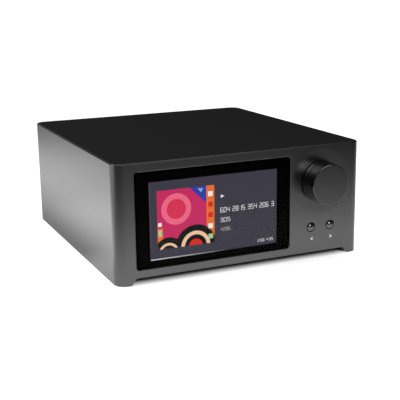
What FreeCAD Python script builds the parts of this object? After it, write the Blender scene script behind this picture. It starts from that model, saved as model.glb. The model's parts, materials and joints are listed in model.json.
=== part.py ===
import FreeCAD, Part
import math
import os

import Sketcher

# Streaming amplifier, in millimetres.
# X runs to the viewer's right along the front, Y from front to rear and Z up.
# The origin is on the floor plane, under the middle of the casing.

SIZES = {
    # casing
    "casing_width": 218.0,
    "casing_depth": 236.6,
    "casing_height": 96.0,
    "corner_radius": 9.5,
    "side_wall": 3.0,
    "front_wall": 4.0,
    "rear_wall": 3.0,
    "rim_chamfer": 0.8,
    "rim_width": 1.2,
    "skirt_lift": 5.7,
    "leg_width": 11.8,
    "leg_slant": 2.7,
    "leg_round_width": 2.4,
    "leg_round_drop": 1.5,
    "post_width": 11.0,
    "post_length": 26.0,
    "fixing_inset": 5.6,
    # top plate
    "plate_thickness": 3.0,
    "plate_gap": 0.3,
    # feet
    "foot_proud": 0.5,
    "foot_radius": 4.8,
    "foot_thickness": 1.8,
    "foot_inset": 6.0,
    # steel tray
    "tray_base": 6.0,
    "sheet_thickness": 1.2,
    "tray_gap": 0.3,
    "flange_height": 7.0,
    "flange_half_length": 75.0,
    "vent_width": 3.0,
    "vent_length": 34.0,
    "vent_pitch": 9.0,
    "vent_front_y": -70.0,
    "vent_rear_y": 40.0,
    # rear window and panel
    "window_side": 17.0,
    "window_bottom": 10.5,
    "window_top": 7.5,
    "window_radius": 2.5,
    "panel_overlap": 7.0,
    "panel_rise": 3.0,
    "panel_screw_low": 22.0,
    "panel_screw_high": 76.0,
    # screws
    "screw_radius": 1.5,
    "screw_clearance": 0.1,
    "thread_gap": 0.05,
    "head_radius": 2.7,
    "head_height": 1.6,
    "head_gap": 0.2,
    "drive_width": 2.2,
    "drive_depth": 1.0,
    "inner_screw_length": 6.0,
    "tray_screw_length": 5.0,
    "panel_screw_length": 6.0,
    "tapped_spare": 0.3,
    # display
    "glass_width": 133.8,
    "glass_radius": 2.3,
    "glass_thickness": 1.5,
    "glass_recess": 0.15,
    "glass_gap": 0.25,
    "glass_bevel": 0.35,
    "glass_centre_x": -25.8,
    "glass_low": 12.1,
    "glass_top_margin": 7.2,
    "screen_width": 110.5,
    "screen_height": 62.1,
    "screen_centre_x": -25.55,
    "screen_drop": 1.6,
    "gasket_thickness": 0.3,
    "cell_side_border": 4.4,
    "cell_end_border": 3.1,
    "cell_gap": 0.4,
    "backlight_thickness": 4.5,
    "backlight_lap": 1.5,
    "bracket_thickness": 1.0,
    "bracket_height": 60.0,
    "bracket_margin": 3.5,
    "boss_radius": 3.2,
    "boss_gap": 0.4,
    "boss_rise": 24.0,
    "pip_height": 2.0,
    "pip_radius": 2.5,
    "pip_inset": 6.0,
    "driver_width": 84.0,
    "driver_height": 44.0,
    "board_thickness": 1.6,
    # knob
    "knob_x": 70.0,
    "knob_drop": 30.5,
    "dish_radius": 27.5,
    "dish_depth": 0.4,
    "knob_reach": 16.0,
    "knob_gap": 1.0,
    "knob_face_radius": 16.7,
    "knob_waist_radius": 17.2,
    "knob_rim_radius": 17.6,
    "knob_rim_length": 4.0,
    "knob_groove_width": 0.5,
    "knob_groove_depth": 0.7,
    "knob_chamfer": 0.45,
    "knob_wall": 2.2,
    "knob_crown": 3.0,
    "face_thickness": 1.0,
    "hub_radius": 6.5,
    "hub_gap": 0.3,
    "shaft_radius": 3.0,
    "shaft_socket": 9.0,
    "knob_travel": 0.5,
    "running_gap": 0.05,
    # encoder
    "bush_radius": 3.5,
    "bush_reach": 0.8,
    "bush_gap": 0.1,
    "nut_width": 10.0,
    "nut_thickness": 1.8,
    "nut_gap": 0.2,
    "encoder_width": 12.4,
    "encoder_depth": 6.5,
    "encoder_wall": 1.0,
    "plunger_radius": 4.4,
    "plunger_thickness": 1.6,
    # buttons
    "button_z": 27.3,
    "button_near_x": 61.4,
    "button_far_x": 79.8,
    "button_radius": 3.6,
    "button_hole_radius": 4.15,
    "button_reach": 1.8,
    "button_crown": 1.6,
    "collar_radius": 5.2,
    "collar_thickness": 1.0,
    "stem_radius": 1.6,
    "stem_engagement": 0.5,
    "button_travel": 0.6,
    "key_width": 6.2,
    "key_depth": 3.4,
    # front board
    "front_board_left": 50.0,
    "front_board_right": 94.0,
    "front_board_low": 17.0,
    "front_board_top_gap": 14.0,
    "board_fixing_inset": 4.5,
    "board_boss_radius": 2.8,
    # boards in the tray
    "short_standoff": 6.0,
    "board_front": -40.0,
    "board_rear_gap": 8.0,
    "board_side_gap": 14.0,
    "board_split_x": 6.0,
    "board_split_gap": 4.0,
    # power supply
    "core_width": 36.0,
    "core_length": 34.0,
    "core_headroom": 6.6,
    "core_leg": 9.0,
    "winding_thickness": 7.5,
    "winding_gap": 0.3,
    "transformer_x": -64.0,
    "transformer_y": 50.0,
    "bulk_radius": 11.0,
    "bulk_headroom": 4.6,
    "bulk_x": -60.0,
    "bulk_y": -10.0,
    "bulk_pitch": 28.0,
    # amplifier
    "chip_width": 16.0,
    "chip_height": 3.0,
    "chip_pitch": 38.0,
    "fin_thickness": 1.6,
    "fin_block_width": 76.0,
    "fin_block_depth": 34.0,
    "fin_block_headroom": 7.6,
    "fin_block_x": 50.0,
    "fin_block_y": 24.0,
    "fin_block_base": 5.0,
    "coil_radius": 8.0,
    "coil_hole_radius": 3.5,
    "coil_height": 13.0,
    "coil_pitch": 20.0,
    "coil_y": 62.0,
    "filter_radius": 6.3,
    "filter_height": 22.0,
    "filter_y": -18.0,
    # main board
    "main_board_drop": 42.6,
    "main_board_front": -50.0,
    "main_board_rear_gap": 1.8,
    "main_board_side_gap": 4.0,
    "tall_front_y": -46.0,
    "tall_rear_y": 99.0,
    "tall_inset": 5.0,
    "processor_width": 18.0,
    "processor_height": 2.0,
    "processor_x": 10.0,
    "processor_y": 30.0,
    "cooler_width": 34.0,
    "cooler_height": 12.0,
    "cooler_base": 3.0,
    "radio_width": 24.0,
    "radio_length": 30.0,
    "radio_height": 3.0,
    "radio_x": -60.0,
    "radio_y": 40.0,
    "ribbon_thickness": 0.3,
    "ribbon_overlap": 6.0,
    "display_ribbon_width": 20.0,
    "control_ribbon_width": 10.0,
    # mains inlet
    "inlet_inset": 26.0,
    "inlet_z": 30.0,
    "inlet_flange_width": 31.0,
    "inlet_flange_height": 24.0,
    "inlet_flange_thickness": 2.0,
    "inlet_body_width": 27.6,
    "inlet_body_height": 20.6,
    "inlet_body_depth": 22.0,
    "inlet_cavity_width": 24.8,
    "inlet_cavity_height": 17.0,
    "inlet_cavity_depth": 18.0,
    "inlet_cavity_bevel": 4.0,
    "pin_width": 2.0,
    "pin_height": 4.0,
    "pin_length": 13.0,
    "pin_spacing": 7.0,
    "pin_offset": 2.0,
    "terminal_width": 3.0,
    "terminal_thickness": 0.8,
    "fit_gap": 0.1,
    # mains rocker
    "rocker_spacing": 36.0,
    "rocker_z": 30.0,
    "bezel_width": 21.0,
    "bezel_height": 15.0,
    "bezel_thickness": 1.8,
    "switch_body_width": 19.0,
    "switch_body_height": 12.8,
    "switch_body_depth": 18.0,
    "rocker_opening_width": 17.0,
    "rocker_opening_height": 11.2,
    "rocker_opening_depth": 9.6,
    "rocker_width": 16.4,
    "rocker_height": 9.2,
    "rocker_front": 4.6,
    "rocker_hollow": 1.0,
    "rocker_back": 2.0,
    "rocker_back_narrowing": 0.4,
    "rocker_tilt": 11.0,
    "rocker_pivot_depth": 4.2,
    "rocker_pin_radius": 1.2,
    "rocker_pin_length": 0.9,
    "switch_tab_spacing": 5.0,
    # binding posts
    "post_z": 30.0,
    "post_end_inset": 14.0,
    "post_pitch": 19.0,
    "post_reach": 13.4,
    "stem_outer_radius": 3.0,
    "banana_radius": 2.05,
    "banana_depth": 22.0,
    "stem_recess": 0.5,
    "stem_tail": 11.0,
    "leg_strip_width": 4.0,
    "post_base_radius": 7.0,
    "post_base_thickness": 3.0,
    "post_sleeve_radius": 4.6,
    "post_sleeve_length": 3.0,
    "clamp_radius": 5.4,
    "clamp_thickness": 0.8,
    "cap_radius": 6.4,
    "cap_chamfer": 0.6,
    "flute_radius": 0.8,
    "flute_offset": 0.3,
    # phono sockets
    "phono_end_inset": 12.0,
    "phono_pitch": 16.0,
    "phono_low": 8.0,
    "phono_rise": 14.0,
    "phono_block_width": 46.0,
    "phono_block_height": 28.0,
    "phono_block_depth": 12.0,
    "phono_shell_radius": 4.15,
    "phono_shell_wall": 0.45,
    "phono_flange_radius": 5.6,
    "phono_flange_thickness": 1.0,
    "phono_reach": 8.5,
    "phono_seat": 6.0,
    "phono_recess": 1.0,
    "phono_contact_radius": 1.65,
    "phono_contact_depth": 10.0,
    # digital sockets
    "socket_proud": 0.2,
    "socket_back": 1.5,
    "optical_width": 9.8,
    "optical_height": 10.4,
    "optical_depth": 13.5,
    "optical_opening": 6.0,
    "optical_opening_depth": 9.0,
    "video_width": 15.2,
    "video_height": 6.6,
    "video_depth": 12.0,
    "video_opening_width": 13.9,
    "video_opening_height": 4.5,
    "video_bevel": 1.3,
    "video_tongue_width": 11.4,
    "video_tongue_height": 1.2,
    "serial_width": 14.4,
    "serial_height": 7.2,
    "serial_depth": 14.0,
    "serial_opening_width": 12.5,
    "serial_opening_height": 5.1,
    "serial_tongue_width": 11.1,
    "serial_tongue_height": 1.8,
    "serial_tongue_rise": 1.0,
    "tongue_recess": 0.6,
    "network_width": 16.2,
    "network_height": 13.6,
    "network_depth": 18.0,
    "network_opening_width": 11.8,
    "network_opening_height": 8.2,
    "network_opening_depth": 12.5,
    "network_latch_width": 6.0,
    "network_latch_height": 1.8,
    "jack_end_inset": 17.0,
    "jack_pitch": 13.0,
    "jack_width": 8.2,
    "jack_height": 7.0,
    "jack_depth": 12.0,
    "jack_radius": 1.8,
    "jack_barrel_radius": 2.9,
    "jack_bore_depth": 10.0,
}

# Counts
VENTS_IN_ROW = 13
FLUTES = 16
AMPLIFIER_FINS = 15
COOLER_FINS = 8
COILS = 4
PHONO_COLUMNS = 3
PHONO_ROWS = 2
JACKS = 2
SOCKETS = ("network", "serial", "video", "optical")
POSTS = ("right_plus", "right_minus", "left_minus", "left_plus")

FULL_TURN = 360

doc = FreeCAD.newDocument("streaming_amplifier")
sheet = doc.addObject("Spreadsheet::Sheet", "Sizes")
nodes = []


class Formula:
    """A size or a sum of sizes: its words for the sheet, and its value for a first drawing."""

    def __init__(self, words, value):
        self.words = words
        self.value = value

    def __add__(self, other):
        return joined(self, "+", other, self.value + number(other))

    def __radd__(self, other):
        return joined(other, "+", self, number(other) + self.value)

    def __sub__(self, other):
        return joined(self, "-", other, self.value - number(other))

    def __rsub__(self, other):
        return joined(other, "-", self, number(other) - self.value)

    def __mul__(self, other):
        return joined(self, "*", other, self.value * number(other))

    def __rmul__(self, other):
        return joined(other, "*", self, number(other) * self.value)

    def __truediv__(self, other):
        return joined(self, "/", other, self.value / number(other))

    def __neg__(self):
        return joined(0, "-", self, -self.value)


class Sizes:
    """Each named size as a formula that points at its cell in the sheet."""

    def __getattr__(self, name):
        return Formula(f"Sizes.{name}", SIZES[name])


def number(item):
    return item.value if isinstance(item, Formula) else float(item)


def words(item):
    return item.words if isinstance(item, Formula) else repr(float(item))


def joined(left, sign, right, value):
    return Formula(f"({words(left)} {sign} {words(right)})", value)


def square(item):
    return item * item


s = Sizes()


def fill_sheet():
    for row, (name, value) in enumerate(SIZES.items(), start=1):
        sheet.set(f"A{row}", name.replace("_", " "))
        sheet.set(f"B{row}", str(value))
        sheet.setAlias(f"B{row}", name)
    doc.recompute()


def tie(item, prop, formula):
    """Binds one property to the sheet."""
    setattr(item, prop, number(formula))
    item.setExpression(prop, words(formula))


def put(item, x=0, y=0, z=0):
    """Binds an object's place to the sheet."""
    item.Placement.Base = FreeCAD.Vector(number(x), number(y), number(z))
    for letter, formula in (("x", x), ("y", y), ("z", z)):
        item.setExpression(f"Placement.Base.{letter}", words(formula))
    return item


def turn(item, axis, degrees):
    item.Placement.Rotation = FreeCAD.Rotation(FreeCAD.Vector(*axis), degrees)
    return item


def keep(label, item):
    """Names a finished sub-part and lists it for the export."""
    item.Label = label
    nodes.append(item)
    return item


# Part primitives and booleans


def box(name, x, y, z, across, deep, tall):
    """A box from its low corner at x, y, z."""
    item = doc.addObject("Part::Box", name)
    tie(item, "Length", across)
    tie(item, "Width", deep)
    tie(item, "Height", tall)
    return put(item, x, y, z)


def middle_box(name, x, y, z, across, deep, tall):
    """A box that is centred on x, from y and z."""
    return box(name, x - across / 2, y, z, across, deep, tall)


def facing_box(name, x, y, z, across, deep, tall):
    """A box that is centred on x and z, from y."""
    return box(name, x - across / 2, y, z - tall / 2, across, deep, tall)


def rod(name, x, y, z, radius, length, along="z"):
    """A cylinder from x, y, z along +X, +Y or +Z."""
    item = doc.addObject("Part::Cylinder", name)
    tie(item, "Radius", radius)
    tie(item, "Height", length)
    if along == "y":
        turn(item, (1, 0, 0), -90)
    if along == "x":
        turn(item, (0, 1, 0), 90)
    return put(item, x, y, z)


def six_sided(name, x, y, z, across_flats, length, along="z"):
    """A hexagonal prism from x, y, z along +Y or +Z."""
    item = doc.addObject("Part::Prism", name)
    item.Polygon = 6
    tie(item, "Circumradius", across_flats / math.sqrt(3))
    tie(item, "Height", length)
    if along == "y":
        turn(item, (1, 0, 0), -90)
    return put(item, x, y, z)


def cut(name, base, *tools):
    tool = tools[0]
    if len(tools) > 1:
        tool = fuse(name + "_tools", *tools)
    item = doc.addObject("Part::Cut", name)
    item.Base = base
    item.Tool = tool
    return item


def common(name, base, tool):
    item = doc.addObject("Part::Common", name)
    item.Base = base
    item.Tool = tool
    return item


def fuse(name, *items):
    item = doc.addObject("Part::MultiFuse", name)
    item.Shapes = list(items)
    return item


def group(name, *items):
    """Separate solids of one node."""
    item = doc.addObject("Part::Compound", name)
    item.Links = list(items)
    return item


def tube(name, x, y, z, radius, hole_radius, length, along="z"):
    outside = rod(name + "_outside", x, y, z, radius, length, along)
    bore = rod(name + "_bore", x, y, z, hole_radius, length, along)
    return cut(name, outside, bore)


def screw(name, x, y, z, length, facing):
    """A socket-head screw. Its head seats at x, y, z and is on the side that facing names."""
    along = {"down": "z", "up": "z", "front": "y", "rear": "y"}[facing]
    toward_low = facing in ("down", "front")
    steps = {
        "shank": (-length, length),
        "head": (0, s.head_height),
        "drive": (s.head_height - s.drive_depth, s.drive_depth),
    }
    if toward_low:
        steps = {
            "shank": (0, length),
            "head": (-s.head_height, s.head_height),
            "drive": (-s.head_height, s.drive_depth),
        }
    made = {}
    for part, (start, run) in steps.items():
        place = (x, y, z + start) if along == "z" else (x, y + start, z)
        if part == "drive":
            made[part] = six_sided(f"{name}_{part}", *place, s.drive_width, run, along)
        else:
            radius = s.screw_radius if part == "shank" else s.head_radius
            made[part] = rod(f"{name}_{part}", *place, radius, run, along)
    whole = fuse(name + "_blank", made["shank"], made["head"])
    return cut(name, whole, made["drive"])


# Bodies made from sketches


def new_body(name):
    return doc.addObject("PartDesign::Body", name)


def sketch(body, plane, name, lift=0):
    """An empty sketch on one of the body's own planes, lifted along the plane's normal."""
    item = body.newObject("Sketcher::SketchObject", name)
    for feature in body.Origin.OriginFeatures:
        if feature.Role == plane:
            item.AttachmentSupport = [(feature, "")]
    item.MapMode = "FlatFace"
    item.AttachmentOffset.Base = FreeCAD.Vector(0, 0, number(lift))
    item.setExpression("AttachmentOffset.Base.z", words(lift))
    return item


def sketch_facing(body, name, y):
    """A sketch in an upright plane at y: across is X and up is Z. Pads run to -Y and pockets to +Y."""
    return sketch(body, "XZ_Plane", name, -y)


def bind_constraint(item, kind, *places, formula):
    index = item.addConstraint(Sketcher.Constraint(kind, *places, number(formula)))
    item.setExpression(f"Constraints[{index}]", words(formula))


def at_point(item, edge, end, across, up):
    bind_constraint(item, "DistanceX", -1, 1, edge, end, formula=across)
    bind_constraint(item, "DistanceY", -1, 1, edge, end, formula=up)


def arc_between(start, end, radius):
    """The short arc that turns left on its way from start to end."""
    chord = end - start
    half = chord.Length / 2
    left = FreeCAD.Vector(-chord.y, chord.x, 0).normalize()
    centre = (start + end) / 2 + left * math.sqrt(max(radius**2 - half**2, 0))
    angles = [math.atan2(point.y - centre.y, point.x - centre.x) for point in (start, end)]
    if angles[1] < angles[0]:
        angles[1] += 2 * math.pi
    return Part.ArcOfCircle(Part.Circle(centre, FreeCAD.Vector(0, 0, 1), radius), *angles)


def outline(item, corners):
    """A closed run through the corners. A corner with a third value starts an arc of that radius."""
    first = item.GeometryCount
    count = len(corners)
    spots = [FreeCAD.Vector(number(corner[0]), number(corner[1]), 0) for corner in corners]
    for index, corner in enumerate(corners):
        ends = spots[index], spots[(index + 1) % count]
        if len(corner) == 3:
            item.addGeometry(arc_between(*ends, number(corner[2])), False)
        else:
            item.addGeometry(Part.LineSegment(*ends), False)
    for index in range(count):
        following = first + (index + 1) % count
        item.addConstraint(Sketcher.Constraint("Coincident", first + index, 2, following, 1))
    for index, corner in enumerate(corners):
        at_point(item, first + index, 1, corner[0], corner[1])
        if len(corner) == 3:
            bind_constraint(item, "Radius", first + index, formula=corner[2])
    return item


def rectangle(item, across, up, width, height):
    """A rectangle centred on across, up."""
    left = across - width / 2
    right = across + width / 2
    low = up - height / 2
    high = up + height / 2
    return outline(item, [(left, low), (right, low), (right, high), (left, high)])


def rounded(item, across, up, width, height, radius):
    """A rectangle centred on across, up, with rounded corners."""
    left = across - width / 2
    right = across + width / 2
    low = up - height / 2
    high = up + height / 2
    return outline(
        item,
        [
            (left + radius, low),
            (right - radius, low, radius),
            (right, low + radius),
            (right, high - radius, radius),
            (right - radius, high),
            (left + radius, high, radius),
            (left, high - radius),
            (left, low + radius, radius),
        ],
    )


def circle(item, across, up, radius):
    middle = FreeCAD.Vector(number(across), number(up), 0)
    index = item.addGeometry(Part.Circle(middle, FreeCAD.Vector(0, 0, 1), number(radius)), False)
    bind_constraint(item, "Radius", index, formula=radius)
    at_point(item, index, 3, across, up)
    return item


def pad(body, profile, length):
    item = body.newObject("PartDesign::Pad", profile.Name + "_pad")
    item.Profile = profile
    tie(item, "Length", length)
    doc.recompute()
    return item


def pocket(body, profile, depth=None):
    """Takes material away against the sketch's normal, right through if no depth is given."""
    before = body.Shape.Volume
    item = body.newObject("PartDesign::Pocket", profile.Name + "_pocket")
    item.Profile = profile
    if depth is None:
        item.Type = "ThroughAll"
    else:
        tie(item, "Length", depth)
    doc.recompute()
    if not item.Shape.Volume < before:
        raise ValueError(f"{item.Name} takes nothing away")
    return item


def revolve(body, profile):
    """A full turn of the profile about the sketch's upright axis."""
    item = body.newObject("PartDesign::Revolution", profile.Name + "_turned")
    item.Profile = profile
    item.ReferenceAxis = (profile, ["V_Axis"])
    item.Angle = FULL_TURN
    doc.recompute()
    return item


def edges_where(shape, test):
    """Names of the edges whose end points all pass the test."""
    found = []
    for index, edge in enumerate(shape.Edges, start=1):
        if all(test(vertex.Point) for vertex in edge.Vertexes):
            found.append(f"Edge{index}")
    return found


def chamfer(body, base, edges, size):
    item = body.newObject("PartDesign::Chamfer", base.Name + "_chamfer")
    item.Base = (base, edges)
    tie(item, "Size", size)
    doc.recompute()
    return item


def turned_along_y(name, x, y, z, corners):
    """A body of revolution about a Y axis through x, z. Corners are radius and distance from y."""
    body = new_body(name)
    put(body, x, y, z)
    profile = sketch(body, "XY_Plane", name + "_profile")
    outline(profile, corners)
    revolve(body, profile)
    return body


# Planes and rules that several pieces share

front = -s.casing_depth / 2
rear = s.casing_depth / 2
front_inside = front + s.front_wall
rear_inside = rear - s.rear_wall
inner_half_width = s.casing_width / 2 - s.side_wall
inner_radius = s.corner_radius - s.side_wall
ledge_plane = front + s.glass_recess + s.glass_thickness + s.gasket_thickness
tray_top = s.tray_base + s.sheet_thickness
panel_inside = rear_inside - s.sheet_thickness
board_base = tray_top + s.short_standoff
board_top = board_base + s.board_thickness
board_rear = rear_inside - s.board_rear_gap
board_half_width = inner_half_width - s.board_side_gap
main_board_base = s.casing_height - s.main_board_drop
main_board_top = main_board_base + s.board_thickness
core_height = main_board_base - board_top - s.core_headroom
bulk_height = main_board_base - board_top - s.bulk_headroom
fin_block_height = main_board_base - board_top - s.chip_height - s.fin_block_headroom
main_half_width = inner_half_width - s.main_board_side_gap
bracket_front = front_inside + s.backlight_thickness
bracket_back = bracket_front + s.bracket_thickness
driver_front = bracket_back + s.pip_height
encoder_back = front_inside + s.encoder_depth
front_board_back = encoder_back + s.board_thickness
plate_base = s.casing_height - s.plate_thickness
nut_front = front + s.dish_depth - s.nut_gap - s.nut_thickness
bush_front = nut_front - s.bush_reach
glass_height = s.casing_height - s.glass_top_margin - s.glass_low
glass_z = s.glass_low + glass_height / 2
screen_z = glass_z - s.screen_drop
knob_z = s.casing_height - s.knob_drop
front_board_high = s.casing_height - s.front_board_top_gap
opening_width = s.screen_width + 2 * (s.cell_side_border + s.cell_gap)
opening_height = s.screen_height + 2 * (s.cell_end_border + s.cell_gap)
can_width = opening_width + 2 * s.backlight_lap
boss_reach = can_width / 2 + s.boss_gap + s.boss_radius
window_left = s.window_side - s.casing_width / 2
window_right = s.casing_width / 2 - s.window_side
inlet_x = window_left + s.inlet_inset
rocker_x = inlet_x + s.rocker_spacing
socket_face = rear_inside + s.socket_proud
clamp_plane = rear_inside + s.post_base_thickness
cap_plane = clamp_plane + s.clamp_thickness
cap_end = rear + s.post_reach


def corner_signs():
    return [(side, end) for end in (-1, 1) for side in (-1, 1)]


def from_post_end(end, distance):
    """Y at a distance from the wall end of the front or the rear corner blocks."""
    if end < 0:
        return front_inside + distance
    return rear_inside - distance


def foot_places():
    x = inner_half_width - s.fixing_inset
    return [(side * x, from_post_end(end, s.foot_inset)) for side, end in corner_signs()]


def tray_screw_places():
    x = inner_half_width - s.fixing_inset
    return [(side * x, from_post_end(end, s.post_length - s.foot_inset)) for side, end in corner_signs()]


def panel_screw_places():
    x = s.casing_width / 2 - s.window_side + s.panel_overlap / 2
    return [(side * x, height) for height in (s.panel_screw_low, s.panel_screw_high) for side in (-1, 1)]


def bracket_boss_places():
    x = s.screen_centre_x
    return [(x + side * boss_reach, screen_z + end * s.boss_rise) for side, end in corner_signs()]


def board_boss_places():
    inset = s.board_fixing_inset
    sides = (s.front_board_left + inset, s.front_board_right - inset)
    heights = (s.front_board_low + inset, front_board_high - inset)
    return [(x, z) for z in heights for x in sides]


def tray_board_spans():
    """Left and right ends of the power board and of the amplifier board."""
    half_gap = s.board_split_gap / 2
    return [(-board_half_width, s.board_split_x - half_gap), (s.board_split_x + half_gap, board_half_width)]


def short_standoff_places():
    inset = s.board_fixing_inset
    lengths = (s.board_front + inset, board_rear - inset)
    widths = [x for left, right in tray_board_spans() for x in (left + inset, right - inset)]
    return [(x, y) for x in widths for y in lengths]


def tall_standoff_places():
    x = main_half_width - s.tall_inset
    return [(side * x, y) for y in (s.tall_front_y, s.tall_rear_y) for side in (-1, 1)]


def post_x(index):
    return window_right - s.post_end_inset - (len(POSTS) - 1 - index) * s.post_pitch


def phono_x(column):
    return window_right - s.phono_end_inset - (PHONO_COLUMNS - 1 - column) * s.phono_pitch


def phono_places():
    return [
        (phono_x(column), main_board_top + s.phono_low + row * s.phono_rise)
        for row in range(PHONO_ROWS)
        for column in range(PHONO_COLUMNS)
    ]


def jack_x(index):
    return window_left + s.jack_end_inset + index * s.jack_pitch


def jack_places():
    z = main_board_top + s.jack_height / 2
    return [(jack_x(index), z) for index in range(JACKS)]


def socket_x(name):
    """The digital sockets stand evenly between the jacks and the phono sockets."""
    start = jack_x(JACKS - 1)
    step = (phono_x(0) - start) / (len(SOCKETS) + 1)
    return start + (SOCKETS.index(name) + 1) * step


def tapped_rods(name, places, base, depth):
    """Tools for tapped holes along Y, from base."""
    radius = s.screw_radius + s.thread_gap
    return [rod(f"{name}_{index}", x, base, z, radius, depth, "y") for index, (x, z) in enumerate(places)]


# Casing


def make_casing_wrap():
    """Front, sides and rear frame of the aluminium casing, in one piece."""
    body = new_body("casing_wrap")
    plan = sketch(body, "XY_Plane", "casing_plan", s.foot_proud)
    rounded(plan, 0, 0, s.casing_width, s.casing_depth, s.corner_radius)
    block = pad(body, plan, s.casing_height - s.foot_proud)
    top = number(s.casing_height)
    chamfer(body, block, edges_where(block.Shape, lambda point: abs(point.z - top) < 0.001), s.rim_chamfer)

    hollow = sketch(body, "XY_Plane", "casing_hollow", s.casing_height)
    inner_depth = s.casing_depth - s.front_wall - s.rear_wall
    rounded(hollow, 0, (s.front_wall - s.rear_wall) / 2, 2 * inner_half_width, inner_depth, inner_radius)
    pocket(body, hollow)
    rebate = sketch(body, "XY_Plane", "plate_rebate", s.casing_height)
    rim_loss = 2 * s.rim_width
    rim_radius = s.corner_radius - s.rim_width
    rounded(rebate, 0, 0, s.casing_width - rim_loss, s.casing_depth - rim_loss, rim_radius)
    pocket(body, rebate, s.plate_thickness)

    # The lower edge is raised between the legs, front and rear
    foot = s.casing_width / 2 - s.leg_width
    knee = foot - s.leg_slant
    top_end = knee - s.leg_round_width
    knee_height = s.skirt_lift - s.leg_round_drop
    round_radius = (square(s.leg_round_width) + square(s.leg_round_drop)) / (2 * s.leg_round_drop)
    for name, y, wall in (("front_skirt", front, s.front_wall), ("rear_skirt", rear_inside, s.rear_wall)):
        skirt = sketch_facing(body, name, y)
        outline(
            skirt,
            [
                (-foot, 0),
                (foot, 0),
                (foot, s.foot_proud),
                (knee, knee_height, round_radius),
                (top_end, s.skirt_lift),
                (-top_end, s.skirt_lift, round_radius),
                (-knee, knee_height),
                (-foot, s.foot_proud),
            ],
        )
        pocket(body, skirt, wall)

    # Display recess, the opening behind it and its bright bevel
    recess = sketch_facing(body, "display_recess", front)
    recess_width = s.glass_width + 2 * s.glass_gap
    recess_height = glass_height + 2 * s.glass_gap
    recess_radius = s.glass_radius + s.glass_gap
    rounded(recess, s.glass_centre_x, glass_z, recess_width, recess_height, recess_radius)
    sunk = pocket(body, recess, ledge_plane - front)

    def on_recess_edge(point):
        beside = abs(point.x - number(s.glass_centre_x)) < number(recess_width) / 2 + 0.001
        level = abs(point.z - number(glass_z)) < number(recess_height) / 2 + 0.001
        return beside and level and abs(point.y - number(front)) < 0.001

    chamfer(body, sunk, edges_where(sunk.Shape, on_recess_edge), s.glass_bevel)
    opening = sketch_facing(body, "display_opening", front)
    rectangle(opening, s.screen_centre_x, screen_z, opening_width, opening_height)
    pocket(body, opening, s.front_wall)

    # Holes for the encoder bush and the two buttons
    holes = sketch_facing(body, "front_holes", front)
    circle(holes, s.knob_x, knob_z, s.bush_radius + s.bush_gap)
    for x in (s.button_near_x, s.button_far_x):
        circle(holes, x, s.button_z, s.button_hole_radius)
    pocket(body, holes, s.front_wall)

    # Rear window for the panel, and its screw holes
    window = sketch_facing(body, "rear_window", rear_inside)
    high = s.casing_height - s.window_top
    window_width = s.casing_width - 2 * s.window_side
    rounded(window, 0, (s.window_bottom + high) / 2, window_width, high - s.window_bottom, s.window_radius)
    for x, z in panel_screw_places():
        circle(window, x, z, s.screw_radius + s.screw_clearance)
    pocket(body, window, s.rear_wall)
    return body


def make_casing():
    """The wrap with its corner blocks, bosses, dish and tapped holes, parted into panels."""
    added = [make_casing_wrap()]
    for index, (side, end) in enumerate(corner_signs()):
        x = side * (inner_half_width - s.post_width / 2)
        y = front_inside if end < 0 else rear_inside - s.post_length
        height = s.tray_base - s.foot_proud
        block = (x, y, s.foot_proud, s.post_width, s.post_length, height)
        added.append(middle_box(f"corner_block_{index}", *block))
    for index, (x, z) in enumerate(bracket_boss_places()):
        name = f"bracket_boss_{index}"
        added.append(rod(name, x, front_inside, z, s.boss_radius, s.backlight_thickness, "y"))
    for index, (x, z) in enumerate(board_boss_places()):
        name = f"board_boss_{index}"
        added.append(rod(name, x, front_inside, z, s.board_boss_radius, s.encoder_depth, "y"))
    whole = fuse("casing_whole", *added)

    ball_radius = (square(s.dish_radius) + square(s.dish_depth)) / (2 * s.dish_depth)
    ball = doc.addObject("Part::Sphere", "dish_ball")
    tie(ball, "Radius", ball_radius)
    put(ball, s.knob_x, front + s.dish_depth - ball_radius, knob_z)
    tools = [ball]
    bracket_depth = s.inner_screw_length - s.bracket_thickness + s.tapped_spare
    tools += tapped_rods("bracket_tap", bracket_boss_places(), bracket_front - bracket_depth, bracket_depth)
    board_depth = s.inner_screw_length - s.board_thickness + s.tapped_spare
    tools += tapped_rods("board_tap", board_boss_places(), encoder_back - board_depth, board_depth)
    seat_depth = s.foot_thickness - s.foot_proud
    for index, (x, y) in enumerate(foot_places()):
        tools.append(rod(f"foot_seat_{index}", x, y, s.foot_proud, s.foot_radius + s.fit_gap, seat_depth))
    head_room = s.head_height + s.foot_proud
    for index, (x, y) in enumerate(tray_screw_places()):
        hole_radius = s.screw_radius + s.screw_clearance
        tools.append(rod(f"tray_hole_{index}", x, y, s.foot_proud, hole_radius, s.tray_base - s.foot_proud))
        tools.append(rod(f"tray_sink_{index}", x, y, s.foot_proud, s.head_radius + s.head_gap, head_room))
    part_casing(cut("casing", whole, *tools))


def part_casing(casing):
    """The front panel ends behind its corner blocks, and the side panels reach the rear window's edges."""
    parting = front_inside + s.post_length
    outside = (-s.casing_width / 2, front, 0, s.casing_width, parting - front, s.casing_height)
    keep("front_panel", common("front_panel", casing, box("front_reach", *outside)))
    sides = []
    for side in (-1, 1):
        x = side * (s.casing_width - s.window_side) / 2
        reach = (x, parting, 0, s.window_side, rear - parting, s.casing_height)
        sides.append(common(f"side_panel_{side + 1}", casing, middle_box(f"side_reach_{side + 1}", *reach)))
    keep("side_panels", group("side_panels", *sides))
    rails = (window_left, parting, 0, window_right - window_left, rear - parting, s.casing_height)
    keep("rear_rails", common("rear_rails", casing, box("rail_reach", *rails)))


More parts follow.
